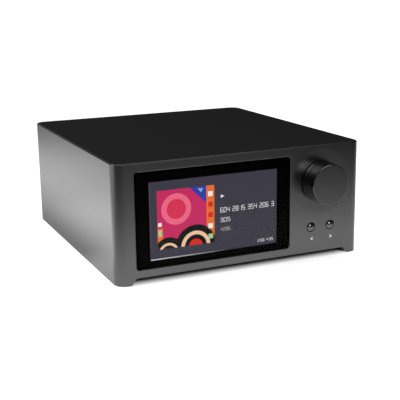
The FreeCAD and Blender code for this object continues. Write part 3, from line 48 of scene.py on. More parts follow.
def linear(red, green, blue):
    """A display colour, 0 to 255, as linear light, by the display's standard curve."""
    channels = []
    for level in (red, green, blue):
        share = level / 255
        channels.append(share / 12.92 if share <= 0.04045 else ((share + 0.055) / 1.055) ** 2.4)
    return (*channels, 1.0)


def grey(level):
    return linear(level, level, level)


def scaled_color(color, gain, lift=0.0):
    """An opaque colour: each channel times the gain plus the lift, at most 1."""
    return (*(min(1.0, channel * gain + lift) for channel in color[:3]), 1.0)


# Sums on shader values; a value is a number or a node's socket


def maths(tree, operation, *values):
    node = tree.nodes.new("ShaderNodeMath")
    node.operation = operation
    for index, value in enumerate(values):
        if isinstance(value, (int, float)):
            node.inputs[index].default_value = value
        else:
            tree.links.new(value, node.inputs[index])
    return node.outputs[0]


def product(tree, first, *others):
    for value in others:
        first = maths(tree, "MULTIPLY", first, value)
    return first


def between(tree, share, start, end):
    """From start, where the share is 0, to end, where it is 1."""
    return maths(tree, "MULTIPLY_ADD", share, end - start, start)


def smooth(tree, value, start, end):
    """A soft ramp: 0 where the value is start, 1 where it is end, and level beyond both."""
    ramp = tree.nodes.new("ShaderNodeMapRange")
    ramp.interpolation_type = "SMOOTHSTEP"
    ramp.inputs["From Min"].default_value = start
    ramp.inputs["From Max"].default_value = end
    tree.links.new(value, ramp.inputs["Value"])
    return ramp.outputs["Result"]


def distance(tree, x, y, middle, x_weight=1.0):
    """The distance from a place on the floor, with the way along X counted by its weight."""
    middle_x, middle_y = middle
    along_x = maths(tree, "MULTIPLY", maths(tree, "SUBTRACT", x, middle_x), x_weight)
    along_y = maths(tree, "SUBTRACT", y, middle_y)
    squares = [maths(tree, "POWER", way, 2) for way in (along_x, along_y)]
    return maths(tree, "SQRT", maths(tree, "ADD", *squares))


def noise(tree, scale, detail, roughness=0.5):
    coordinates = tree.nodes.new("ShaderNodeTexCoord")
    node = tree.nodes.new("ShaderNodeTexNoise")
    node.inputs["Detail"].default_value = detail
    node.inputs["Roughness"].default_value = roughness
    tree.links.new(coordinates.outputs["Object"], node.inputs["Vector"])
    if isinstance(scale, (int, float)):
        node.inputs["Scale"].default_value = scale
    else:
        tree.links.new(scale, node.inputs["Scale"])
    return node.outputs["Fac"]


def split_axes(tree, vector):
    """The X, Y and Z of a vector."""
    split = tree.nodes.new("ShaderNodeSeparateXYZ")
    tree.links.new(vector, split.inputs[0])
    return split.outputs


def mixed(tree, factor, first, second):
    """A colour between first and second."""
    node = tree.nodes.new("ShaderNodeMix")
    node.data_type = "RGBA"
    tree.links.new(factor, node.inputs["Factor"])
    for socket, value in ((node.inputs["A"], first), (node.inputs["B"], second)):
        if isinstance(value, tuple):
            socket.default_value = value
        else:
            tree.links.new(value, socket)
    return node.outputs["Result"]


# Node groups that several materials share

MARK_SCALE = 14.0
LOWEST_ROUGHNESS = 0.02
DUST_SCALE = 55.0
WEAR_SCALE = 420.0
WEAR_SAMPLES = 4
# How far the eased normal leans, as a cosine, where wear begins and where it is full
WEAR_LEAN = (0.999, 0.93)
WEAR_BREAKS = (0.4, 0.62)


def new_group(name, inputs, outputs):
    """A node group with number sockets, and its two end nodes."""
    group = bpy.data.node_groups.new(name, "ShaderNodeTree")
    for label, default in inputs:
        socket = group.interface.new_socket(label, in_out="INPUT", socket_type="NodeSocketFloat")
        socket.default_value = default
    for label in outputs:
        group.interface.new_socket(label, in_out="OUTPUT", socket_type="NodeSocketFloat")
    start = group.nodes.new("NodeGroupInput")
    end = group.nodes.new("NodeGroupOutput")
    return group, start, end


def make_grain():
    """Fine blasted or moulded grain, with faint handling marks in the roughness."""
    group, start, end = new_group(
        "Surface grain",
        [("Scale", 6000.0), ("Roughness", 0.4), ("Spread", 0.08), ("Marks", 0.06)],
        ["Roughness", "Height"],
    )
    fine = noise(group, start.outputs["Scale"], detail=2.0)
    broad = noise(group, MARK_SCALE, detail=3.0, roughness=0.6)
    fine_part = product(group, maths(group, "SUBTRACT", fine, 0.5), start.outputs["Spread"])
    broad_part = product(group, maths(group, "SUBTRACT", broad, 0.5), start.outputs["Marks"])
    total = maths(group, "ADD", start.outputs["Roughness"], maths(group, "ADD", fine_part, broad_part))
    group.links.new(maths(group, "MAXIMUM", total, LOWEST_ROUGHNESS), end.inputs["Roughness"])
    group.links.new(fine, end.inputs["Height"])
    return group


def make_dust():
    """A thin, uneven film of dust on faces that look up."""
    group, start, end = new_group("Dust film", [("Amount", 0.1)], ["Mask"])
    geometry = group.nodes.new("ShaderNodeNewGeometry")
    upward = maths(group, "MAXIMUM", split_axes(group, geometry.outputs["Normal"])["Z"], 0.0)
    patches = noise(group, DUST_SCALE, detail=4.0, roughness=0.65)
    group.links.new(product(group, upward, patches, start.outputs["Amount"]), end.inputs["Mask"])
    return group


def make_wear():
    """Worn edges: strongest where the eased edge normal leans away from the face, broken up by noise."""
    group, start, end = new_group("Edge wear", [("Amount", 0.3), ("Radius", 0.3 * MM)], ["Mask"])
    eased = group.nodes.new("ShaderNodeBevel")
    eased.samples = WEAR_SAMPLES
    group.links.new(start.outputs["Radius"], eased.inputs["Radius"])
    geometry = group.nodes.new("ShaderNodeNewGeometry")
    lean = group.nodes.new("ShaderNodeVectorMath")
    lean.operation = "DOT_PRODUCT"
    group.links.new(eased.outputs["Normal"], lean.inputs[0])
    group.links.new(geometry.outputs["True Normal"], lean.inputs[1])
    away = smooth(group, lean.outputs["Value"], *WEAR_LEAN)
    broken = smooth(group, noise(group, WEAR_SCALE, detail=3.0, roughness=0.6), *WEAR_BREAKS)
    group.links.new(product(group, away, broken, start.outputs["Amount"]), end.inputs["Mask"])
    return group


GRAIN = make_grain()
DUST = make_dust()
WEAR = make_wear()


def add_group(tree, group, **values):
    node = tree.nodes.new("ShaderNodeGroup")
    node.node_tree = group
    for label, value in values.items():
        node.inputs[label].default_value = value
    return node


# Finishes

BUMP_DEPTH = 0.02 * MM
EASE_SAMPLES = 6
GRAIN_GAIN = 1.12
BARE_GAIN = 3
BARE_LIFT = 0.05
DUST_COLOR = (0.35, 0.34, 0.32, 1.0)
LIT_BASE = (0.004, 0.004, 0.005, 1.0)
LIT_ROUGHNESS = 0.6
MOTTLE_SCALE = 160.0
MOTTLE_GAIN = 0.95


def new_material(name):
    """A material with its node tree and its shader."""
    material = bpy.data.materials.new(name)
    material.use_nodes = True
    return material, material.node_tree, material.node_tree.nodes["Principled BSDF"]


def surface(name, color, metallic, grain, bump=0.0, edge=0.0, dust=0.0, wear=0.0, **sockets):
    """A finish with grain in its roughness and bump, eased edges, worn edges and dust."""
    material, tree, shader = new_material(name)
    shader.inputs["Metallic"].default_value = metallic
    for label, value in sockets.items():
        shader.inputs[label.replace("_", " ")].default_value = value
    scale, rough, spread, marks = grain
    texture = add_group(tree, GRAIN, Scale=scale, Roughness=rough, Spread=spread, Marks=marks)
    tree.links.new(texture.outputs["Roughness"], shader.inputs["Roughness"])
    if bump:
        relief = tree.nodes.new("ShaderNodeBump")
        relief.inputs["Strength"].default_value = bump
        relief.inputs["Distance"].default_value = BUMP_DEPTH
        tree.links.new(texture.outputs["Height"], relief.inputs["Height"])
        if edge:
            eased = tree.nodes.new("ShaderNodeBevel")
            eased.samples = EASE_SAMPLES
            eased.inputs["Radius"].default_value = edge
            tree.links.new(eased.outputs["Normal"], relief.inputs["Normal"])
        tree.links.new(relief.outputs["Normal"], shader.inputs["Normal"])
    shade = mixed(tree, texture.outputs["Height"], (*color, 1.0), scaled_color(color, GRAIN_GAIN))
    if wear:
        worn = add_group(tree, WEAR, Amount=wear)
        shade = mixed(tree, worn.outputs["Mask"], shade, scaled_color(color, BARE_GAIN, BARE_LIFT))
    if dust:
        film = add_group(tree, DUST, Amount=dust)
        shade = mixed(tree, film.outputs["Mask"], shade, DUST_COLOR)
    tree.links.new(shade, shader.inputs["Base Color"])
    return material


def make_lit(name, color):
    """A glowing surface with the faint mottle of a backlight: a lit area of the screen, or the painted glow
    of the button signs and the sensor dot.
    """
    material, tree, shader = new_material(name)
    shader.inputs["Base Color"].default_value = LIT_BASE
    shader.inputs["Roughness"].default_value = LIT_ROUGHNESS
    shader.inputs["Specular IOR Level"].default_value = 0.0
    shader.inputs["Emission Strength"].default_value = 1.0
    mottle = noise(tree, MOTTLE_SCALE, detail=2.0)
    lit = mixed(tree, mottle, scaled_color(color, MOTTLE_GAIN), color)
    tree.links.new(lit, shader.inputs["Emission Color"])
    return material


METAL = 1.0
PLAIN = 0.0
COATED_METAL = 0.6
ANODISED = (0.125, 0.125, 0.128)
ANODISED_GRAIN = (5200.0, 0.28, 0.05, 0.03)
CASING_EASE = 0.13 * MM
# The painted shade on the casing's rim, which looks up
RIM_SHADE_COLOR = (0.05, 0.05, 0.051, 1.0)
RIM_RAMP = (0.2, 0.5)
# Kept low, so that the glass mirrors as little as a coated one
GLASS_IOR = 1.12

# A finish by slot: its linear colour, how metallic it is, its grain and its bump
# The grain is its scale, its roughness, and how far fine grain and handling marks change that
MATERIALS = {
    "casing_metal": surface(
        "Graphite anodised", ANODISED, METAL, ANODISED_GRAIN, bump=0.1, edge=CASING_EASE
    ),
    "top_black": surface(
        "Black top", (0.0148, 0.0148, 0.015), PLAIN,
        (4200.0, 0.55, 0.1, 0.06), bump=0.05, Specular_IOR_Level=0.0,
    ),
    "dark_steel": surface(
        "Powder coat", (0.03, 0.03, 0.032), PLAIN,
        (1500.0, 0.5, 0.12, 0.05), bump=0.35, dust=0.05, wear=0.5,
    ),
    "rubber": surface("Foot rubber", (0.02, 0.02, 0.02), PLAIN, (2500.0, 0.8, 0.1, 0.05), bump=0.3),
    "screw_steel": surface(
        "Black zinc", (0.06, 0.06, 0.062), METAL,
        (3000.0, 0.35, 0.12, 0.1), bump=0.1, wear=0.6,
    ),
    "black_foam": surface(
        "Gasket foam", (0.007, 0.007, 0.007), PLAIN,
        (3500.0, 0.9, 0.1, 0.0), bump=0.2, Specular_IOR_Level=0.0,
    ),
    "backlight_steel": surface("Bare sheet", (0.55, 0.55, 0.56), METAL, (900.0, 0.32, 0.1, 0.1), bump=0.05),
    "board_green": surface("Solder mask", (0.012, 0.07, 0.035), PLAIN, (900.0, 0.35, 0.1, 0.1), bump=0.1),
    "ribbon": surface("Ribbon film", (0.62, 0.62, 0.64), PLAIN, (1200.0, 0.4, 0.1, 0.1), bump=0.05),
    "bright_steel": surface("Nickel plate", (0.62, 0.61, 0.58), METAL, (2500.0, 0.22, 0.1, 0.1), bump=0.05),
    "black_plastic": surface(
        "Moulded black", (0.018, 0.018, 0.018), PLAIN,
        (2600.0, 0.45, 0.12, 0.08), bump=0.25,
    ),
    "ferrite": surface("Ferrite", (0.03, 0.03, 0.033), PLAIN, (1800.0, 0.6, 0.15, 0.1), bump=0.4),
    "winding_tape": surface("Winding tape", (0.7, 0.45, 0.06), PLAIN, (700.0, 0.35, 0.1, 0.1), bump=0.1),
    "capacitor_sleeve": surface(
        "Shrunk sleeve", (0.015, 0.02, 0.03), PLAIN,
        (900.0, 0.25, 0.08, 0.1), bump=0.05,
    ),
    "fin_aluminium": surface(
        "Black fins", (0.05, 0.05, 0.055), COATED_METAL, (2200.0, 0.45, 0.1, 0.1), bump=0.1, wear=0.3
    ),
    "brass": surface("Plain brass", (0.62, 0.45, 0.16), METAL, (1800.0, 0.3, 0.1, 0.1), bump=0.05),
    "rocker_plastic": surface(
        "Rocker black", (0.012, 0.012, 0.012), PLAIN,
        (2600.0, 0.28, 0.08, 0.08), bump=0.08,
    ),
    "gold": surface("Gold plate", (0.82, 0.56, 0.19), METAL, (2400.0, 0.2, 0.08, 0.1), bump=0.04),
    "cap_red": surface(
        "Red cap", (0.32, 0.008, 0.01), PLAIN,
        (1500.0, 0.25, 0.08, 0.08), bump=0.05, Coat_Weight=0.4,
    ),
    "cap_black": surface(
        "Black cap", (0.012, 0.012, 0.012), PLAIN,
        (1500.0, 0.25, 0.08, 0.08), bump=0.05, Coat_Weight=0.4,
    ),
    "knob_metal": surface("Knob metal", (0.1, 0.1, 0.102), METAL, (5200.0, 0.2, 0.05, 0.03), bump=0.05),
    "knob_disc": surface("Knob disc", ANODISED, METAL, ANODISED_GRAIN, bump=0.1),
    "button_metal": surface(
        "Polished button", (0.14, 0.14, 0.143), METAL,
        (3200.0, 0.22, 0.04, 0.04), bump=0.03,
    ),
    "cover_glass": surface(
        "Cover glass", (0.96, 0.96, 0.97), PLAIN,
        (900.0, 0.03, 0.01, 0.01), Transmission_Weight=1.0, IOR=GLASS_IOR,
    ),
    "screen": make_lit("Lit screen", linear(61, 59, 70)),
}


def paint_shade_upward(material, color):
    """Painted shade: faces that look up take a darker colour, so that the thin rim round the top plate stays
    dark under the overhead lamp.
    """
    tree = material.node_tree
    shader = tree.nodes["Principled BSDF"]
    plain = shader.inputs["Base Color"].links[0].from_socket
    geometry = tree.nodes.new("ShaderNodeNewGeometry")
    upward = smooth(tree, split_axes(tree, geometry.outputs["True Normal"])["Z"], *RIM_RAMP)
    tree.links.new(mixed(tree, upward, plain, color), shader.inputs["Base Color"])


# Painted shade on the casing's upward rim
paint_shade_upward(MATERIALS["casing_metal"], RIM_SHADE_COLOR)

for part in frame["record"]["subparts"]:
    shown = frame["nodes"][part["node"]]
    shown.data.materials.clear()
    shown.data.materials.append(MATERIALS[part["material_slot"]])

# Places on the front and the rear, from the CAD nodes

front_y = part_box("front_panel")[0].y
rear_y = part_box("rear_panel")[1].y
glass_low, glass_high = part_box("cover_glass")
cell_low, cell_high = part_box("display_cell")
screen_front = cell_low.y
SCREEN_X = (cell_low.x + cell_high.x) / 2
SCREEN_Z = (cell_low.z + cell_high.z) / 2
SCREEN_WIDTH = 110.5
SCREEN_HEIGHT = 62.1


def piece(name, build, material, body=CHASSIS):
    """A new mesh piece, drawn in place."""
    mesh = bpy.data.meshes.new(name)
    drawing = bmesh.new()
    build(drawing)
    drawing.to_mesh(mesh)
    drawing.free()
    made = bpy.data.objects.new(name, mesh)
    bpy.context.scene.collection.objects.link(made)
    mesh.materials.append(material)
    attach(made, body)


# Flat shapes in X and Z, in millimetres: each function returns one that draws its shape


def upright(x, z):
    """A matrix that stands a flat shape up, with its middle at x and z."""
    return Matrix.Translation((x, 0, z)) @ Matrix.Rotation(math.radians(90), 4, "X")


def block(x, z, width, height):
    """A rectangle."""

    def draw(drawing):
        place = upright(x, z) @ Matrix.Diagonal((width, height, 1, 1))
        bmesh.ops.create_grid(drawing, x_segments=1, y_segments=1, size=0.5, matrix=place)

    return draw


def disc(x, z, radius, segments=64):
    def draw(drawing):
        place = upright(x, z)
        bmesh.ops.create_circle(drawing, cap_ends=True, segments=segments, radius=radius, matrix=place)

    return draw


def ring(x, z, outer, inner, segments=64):
    def draw(drawing):
        edges = []
        for radius in (outer, inner):
            made = bmesh.ops.create_circle(drawing, segments=segments, radius=radius, matrix=upright(x, z))
            edges += {edge for vert in made["verts"] for edge in vert.link_edges}
        bmesh.ops.bridge_loops(drawing, edges=edges)

    return draw


def polygon(*corners):
    def draw(drawing):
        drawing.faces.new([drawing.verts.new((x, 0, z)) for x, z in corners])

    return draw


def cut_to_frame(drawing, width, height):
    """Cut away what lies outside a rectangle round the origin."""
    for axis, half in (((1, 0, 0), width / 2), ((0, 0, 1), height / 2)):
        for side in (1, -1):
            outward = Vector(axis) * side
            geometry = drawing.verts[:] + drawing.edges[:] + drawing.faces[:]
            bmesh.ops.bisect_plane(
                drawing, geom=geometry, plane_co=outward * half, plane_no=outward, clear_outer=True
            )


def raise_plates(drawing, origin, thickness, mirrored=False):
    """Scale the shapes from millimetres, move them to the origin and thicken them towards -Y."""
    scale = Matrix.Diagonal((-MM if mirrored else MM, MM, MM, 1))
    bmesh.ops.transform(drawing, matrix=Matrix.Translation(origin) @ scale, verts=drawing.verts)
    grown = bmesh.ops.extrude_face_region(drawing, geom=drawing.faces[:])
    moved = [item for item in grown["geom"] if isinstance(item, bmesh.types.BMVert)]
    bmesh.ops.translate(drawing, vec=(0, -thickness, 0), verts=moved)
    bmesh.ops.recalc_face_normals(drawing, faces=drawing.faces)


# Screen contents, from the screen's middle: a plain geometric picture, rows of digits and a clock

LAYER = 0.012 * MM
PICTURE_X, PICTURE_Z = -24.75, 0.2
PICTURE_WIDTH, PICTURE_HEIGHT = 48.4, 46.7


def screen_shape(name, layer, color, *shapes, in_picture=False):
    """One colour of the screen, on its own layer; shapes in the picture are cut to its frame."""

    def build(drawing):
        for draw in shapes:
            draw(drawing)
        if in_picture:
            cut_to_frame(drawing, PICTURE_WIDTH, PICTURE_HEIGHT)
            bmesh.ops.translate(drawing, vec=(PICTURE_X, 0, PICTURE_Z), verts=drawing.verts)
        raise_plates(drawing, (SCREEN_X, screen_front - layer * LAYER, SCREEN_Z), LAYER / 2)

    piece(name, build, make_lit(name.replace("_", " "), color))


def picture_shape(name, layer, color, *shapes):
    """One colour of the picture, with places from the picture's middle."""
    screen_shape(name, layer, color, *shapes, in_picture=True)


SUN = (-8.2, 7.6)
HILL = (7.8, -24.3)
SMALL_HILL = (-15.2, -27.3)
BAND_X = 20.8
STRIP_X = -22.2
TILE = 4
SMALL_TILE = 3

picture_shape("picture_ground", 1, linear(196, 44, 96), block(0, 0, PICTURE_WIDTH, PICTURE_HEIGHT))
picture_shape(
    "picture_bands", 2, linear(228, 112, 48), block(BAND_X, 0, 7, 50), block(STRIP_X, -15.4, 5, 18)
)
picture_shape("picture_sun", 3, linear(236, 104, 132), disc(*SUN, 12.5))
picture_shape("picture_sun_middle", 4, linear(214, 52, 84), disc(*SUN, 8))
picture_shape("picture_hills", 5, linear(20, 20, 18), disc(*HILL, 17.5), disc(*SMALL_HILL, 13))
picture_shape(
    "picture_arches", 6, linear(236, 196, 160), ring(*HILL, 12.5, 9.5), ring(*SMALL_HILL, 8.5, 6.5)
)
picture_shape("picture_sky", 3, linear(52, 62, 160), polygon((2.8, 23.6), (17.3, 23.6), (17.3, 9.6)))
picture_shape("picture_kite", 4, linear(126, 176, 222), polygon((9.8, 22.1), (12.8, 18.6), (14.8, 21.6)))
picture_shape(
    "picture_tiles",
    6,
    linear(238, 236, 228),
    block(BAND_X, 16.6, TILE, TILE),
    block(BAND_X, -9.4, TILE, TILE),
    block(STRIP_X, -3.4, SMALL_TILE, SMALL_TILE),
)
picture_shape(
    "picture_marks",
    6,
    linear(212, 44, 34),
    block(BAND_X, 8.1, TILE, TILE),
    block(BAND_X, -0.4, TILE, TILE),
    disc(*HILL, 6),
)
picture_shape(
    "picture_leaf",
    7,
    linear(168, 204, 150),
    block(STRIP_X, -10.4, SMALL_TILE, 5),
    block(BAND_X, -17.9, TILE, TILE),
)

# The strokes of a digit: a at its top, then clockwise to f, and g across its middle
DIGIT_STROKES = {
    "0": "abcdef",
    "1": "bc",
    "2": "abged",
    "3": "abgcd",
    "4": "fgbc",
    "5": "afgcd",
    "6": "afgedc",
    "8": "abcdefg",
}
# Steps to the next mark, in strokes
DIGIT_GAP = 2.2
COLON_STEP = 2.5
COLON_RISES = (0.3, 0.7)


def digit_shapes(digits, x, z, width, height, stroke):
    """Plain seven-stroke digits, from the left end x and the foot z."""
    shapes = []
    for mark in digits:
        if mark == " ":
            x += width
            continue
        if mark == ":":
            shapes += [block(x + stroke / 2, z + rise * height, stroke, stroke) for rise in COLON_RISES]
            x += stroke * COLON_STEP
            continue
        strokes = {
            "a": block(x + width / 2, z + height, width, stroke),
            "g": block(x + width / 2, z + height / 2, width, stroke),
            "d": block(x + width / 2, z, width, stroke),
            "f": block(x, z + height * 0.75, stroke, height / 2),
            "e": block(x, z + height * 0.25, stroke, height / 2),
            "b": block(x + width, z + height * 0.75, stroke, height / 2),
            "c": block(x + width, z + height * 0.25, stroke, height / 2),
        }
        shapes += [strokes[letter] for letter in DIGIT_STROKES[mark]]
        x += width + stroke * DIGIT_GAP
    return shapes


def digit_row(name, level, digits, **sizes):
    """A row of grey digits on the screen."""
    screen_shape(name, 2, grey(level), *digit_shapes(digits, **sizes))


digit_row("digits_long", 232, "604 2815 354 206 3", x=4.8, z=0.5, width=1.98, height=3.7, stroke=0.42)
digit_row("digits_middle", 220, "305", x=4.7, z=-7.3, width=2.2, height=3.2, stroke=0.42)
digit_row("digits_short", 165, "4286", x=4.7, z=-14.7, width=1.55, height=2.7, stroke=0.36)
screen_shape("play_sign", 2, grey(228), polygon((5.1, 12.3), (8.3, 13.7), (5.1, 15.1)))
digit_row("clock_digits", 225, "2:06 4:35", x=38.0, z=-28.2, width=1.35, height=2.1, stroke=0.28)

# The glowing strips at the screen's foot and left side: painted reflections of the cell's edge
LEFT_EDGE = -SCREEN_WIDTH / 2 + 0.2
FOOT_EDGE = -SCREEN_HEIGHT / 2 + 0.1
FOOT_REFLECTION_END = 12
FOOT_REFLECTION_RISE = 0.6
SIDE_REFLECTION_WIDTH = 0.2
SIDE_REFLECTION_HEIGHT = SCREEN_HEIGHT - 0.4
screen_shape(
    "screen_foot_reflection",
    2,
    grey(250),
    polygon((LEFT_EDGE, FOOT_EDGE), (FOOT_REFLECTION_END, FOOT_EDGE), (LEFT_EDGE, FOOT_EDGE + FOOT_REFLECTION_RISE)),
)
screen_shape(
    "screen_side_reflection",
    3,
    grey(120),
    block(LEFT_EDGE + SIDE_REFLECTION_WIDTH / 2, 0, SIDE_REFLECTION_WIDTH, SIDE_REFLECTION_HEIGHT),
)

# A painted highlight along the opening's cut upper edge, the printing on the front, made to glow, and the
# dot of the light sensor behind the glass, a painted glow too

# A lighter metal strip: a painted highlight on the opening's cut upper edge
CUT_EDGE_HIGHLIGHT = surface("Cut edge highlight", (0.42, 0.42, 0.43), METAL, (3200.0, 0.25, 0.05, 0.05))
CUT_HEIGHT = 0.3
CUT_GAP = 0.15
CUT_END_GAP = 2
CUT_DEPTH = 0.02 * MM


def draw_edge_highlight(drawing):
    middle = (glass_low.x + glass_high.x) / 2
    width = (glass_high.x - glass_low.x) / MM - 2 * CUT_END_GAP
    block(0, CUT_GAP + CUT_HEIGHT / 2, width, CUT_HEIGHT)(drawing)
    raise_plates(drawing, (middle, front_y, glass_high.z), CUT_DEPTH)


piece("opening_edge_highlight", draw_edge_highlight, CUT_EDGE_HIGHLIGHT)

PRINT_DEPTH = 0.03 * MM
SIGN_Z = 17.2 * MM
SIGN_REACH = 1.8
SIGN_RISE = 1.2
SIGN_STROKE = 0.9
SIGN_TIP_STROKE = 1.4 * SIGN_STROKE
# Each button with the side its sign points to and how far the sign stands right of the button's middle
SIGNS = (("previous_button", -1, 0.5), ("next_button", 1, 1.3))


def chevron(x, side):
    """A plain arrow head that points to the side."""
    tip = x + side * SIGN_REACH / 2
    tail = x - side * SIGN_REACH / 2
    inner_tip = tip - side * SIGN_TIP_STROKE
    inner_tail = tail - side * SIGN_STROKE
    return polygon(
        (tip, 0),
        (tail, SIGN_RISE),
        (inner_tail, SIGN_RISE),
        (inner_tip, 0),
        (inner_tail, -SIGN_RISE),
        (tail, -SIGN_RISE),
    )


def draw_chevrons(drawing):
    for node, side, aside in SIGNS:
        low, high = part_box(node)
        chevron((low.x + high.x) / 2 / MM + aside, side)(drawing)
    raise_plates(drawing, (0, front_y, SIGN_Z), PRINT_DEPTH)


# The printed signs glow, a painted light that keeps them white
piece("button_signs", draw_chevrons, make_lit("button signs glow", grey(236)))

SENSOR_X, SENSOR_Z = -39.5, 86.0
SENSOR_RADIUS = 0.6
SENSOR_DEPTH = 0.02 * MM


def draw_sensor(drawing):
    disc(SENSOR_X, SENSOR_Z, SENSOR_RADIUS, segments=24)(drawing)
    raise_plates(drawing, (0, glass_high.y, 0), -SENSOR_DEPTH)


# The sensor's dot is a faint painted glow, though the sensor gives no light
piece("sensor_dot", draw_sensor, make_lit("sensor dot glow", grey(42)))

# Printing on the rear: plus and minus signs at the posts and plain numbers at the phono sockets

REAR_PRINT = surface("Rear print", (0.6, 0.6, 0.6), PLAIN, (2000.0, 0.6, 0.1, 0.05))
# Each post's cap, and whether its sign is a plus
POSTS = (
    ("cap_right_plus", True),
    ("cap_right_minus", False),
    ("cap_left_minus", False),
    ("cap_left_plus", True),
)
POST_SIGN_Z = 40.5
POST_SIGN_WIDTH = 3.2
POST_SIGN_LINE = 0.6
ARM_MIDDLE = 1.4
ARM_HEIGHT = 2.2
# The phono columns in the order of growing X, which is from right to left when seen from behind
PHONO_MARKS = "321"
PHONO_MARK_WIDTH = 1.3
PHONO_MARK_SIZES = {"z": 85.6, "width": PHONO_MARK_WIDTH, "height": 2.6, "stroke": 0.45}


def draw_rear_print(drawing):
    """The shapes are drawn as read from behind, with X reversed, and then mirrored."""
    for node, has_plus in POSTS:
        low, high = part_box(node)
        x = -(low.x + high.x) / 2 / MM
        block(x, POST_SIGN_Z, POST_SIGN_WIDTH, POST_SIGN_LINE)(drawing)
        if has_plus:
            block(x, POST_SIGN_Z + ARM_MIDDLE, POST_SIGN_LINE, ARM_HEIGHT)(drawing)
            block(x, POST_SIGN_Z - ARM_MIDDLE, POST_SIGN_LINE, ARM_HEIGHT)(drawing)
    phono_low, phono_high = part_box("phono_insulators")
    column_width = (phono_high.x - phono_low.x) / len(PHONO_MARKS)
    for column, mark in enumerate(PHONO_MARKS):
        left = -(phono_low.x + column_width * (column + 0.5)) / MM - PHONO_MARK_WIDTH / 2
        for draw in digit_shapes(mark, left, **PHONO_MARK_SIZES):
            draw(drawing)
    raise_plates(drawing, (0, rear_y, 0), -PRINT_DEPTH, mirrored=True)


piece("rear_print", draw_rear_print, REAR_PRINT)

# Camera, at the photograph's viewpoint: angles in radians, lens and film in millimetres, place in metres

AZIMUTH = -0.417994
ELEVATION = 0.242490
ROLL = -0.014481
LENS = 79.718
FILM_WIDTH = 36
CAMERA_PLACE = Vector((-0.310649, -0.729509, 0.227419))


def make_camera():
    level_reach = math.cos(ELEVATION)
    ahead = Vector(
        (-math.sin(AZIMUTH) * level_reach, math.cos(AZIMUTH) * level_reach, -math.sin(ELEVATION))
    )
    across = Vector((math.cos(AZIMUTH), math.sin(AZIMUTH), 0))
    above = across.cross(ahead)
    rolled_across = across * math.cos(ROLL) + above * math.sin(ROLL)
    rolled_above = -across * math.sin(ROLL) + above * math.cos(ROLL)
    data = bpy.data.cameras.new("camera")
    data.lens = LENS
    data.sensor_width = FILM_WIDTH
    camera = bpy.data.objects.new("camera", data)
    bpy.context.scene.collection.objects.link(camera)
    turned = Matrix((rolled_across, rolled_above, -ahead)).transposed().to_4x4()
    camera.matrix_world = Matrix.Translation(CAMERA_PLACE) @ turned
    bpy.context.scene.camera = camera


make_camera()

# Floor: places in metres; each ramp runs from where its value is 0 to where it is 1

FLOOR_HALF = 30
FLOOR_ROUGHNESS = 0.9
# The floor's own pale colour, and the dark colour with which its shade is painted
PAINTED_SHADE_FLOOR = (0.02, 0.02, 0.02, 1.0)
PALE_FLOOR = (0.92, 0.92, 0.92, 1.0)
# A painted pool of light before the object: in the floor's colour, and in the near and far painted
# reflections
POOL = (0.08, -0.1)
POOL_X_WEIGHT = 0.6
POOL_RAMP, POOL_LEVEL = (0.42, 0.08), 0.68
GLOW_RAMP, GLOW_LEVEL = (0.26, 0.04), 0.44
FAR_GLOW_RAMP, FAR_GLOW_LEVEL = (0.85, 0.3), 0.19
RIGHT_END_RAMP = (0.6, 0.0)
LEFT_END_RAMP = (-0.4, -0.1)
# Painted light on the floor beside and behind the object, which fades to the left and to the rear
BEHIND_RAMP = (-0.16, -0.04)
# The share of it that metal and glass see, as painted reflection
BEHIND_GLOW = 0.55
LEFT_RAMP, LEFT_LEVEL = (-0.36, -0.18), 0.45
REAR_RAMP, REAR_LEVEL = (0.3, 0.75), 0.38
# Painted shade on the rear floor, from close to the left side rightwards
# Its painted reflection ends just before the shade is full
SHADE_X_RAMP = (-0.17, -0.11)
SHADE_Y_RAMP = (-0.1, 0.0)
SHADE_LEVEL = 0.7
SHADE_GLOW = -0.05
# A small painted bright patch on the floor, a painted reflection that the left side mirrors
LOBE = (-0.17, 0.05)
LOBE_RAMP, LOBE_LEVEL = (0.16, 0.05), 0.45
# The object's outline on the floor, inside which the floor gives no light of its own; before the front edge
# that light fades in from under the object, painting the soft edge of the shadow
FOOTPRINT_X = 109 * MM
FOOTPRINT_Y = 118.3 * MM
BESIDE_RAMP = (FOOTPRINT_X - 0.004, FOOTPRINT_X)
BEYOND_RAMP = (FOOTPRINT_Y - 0.0125, FOOTPRINT_Y + 0.003)
# Left of the object's right side, floor with full painted light gives only this share of its own light
DIMMED_RAMP, DIMMED_LEVEL = (0.11, 0.08), 0.55


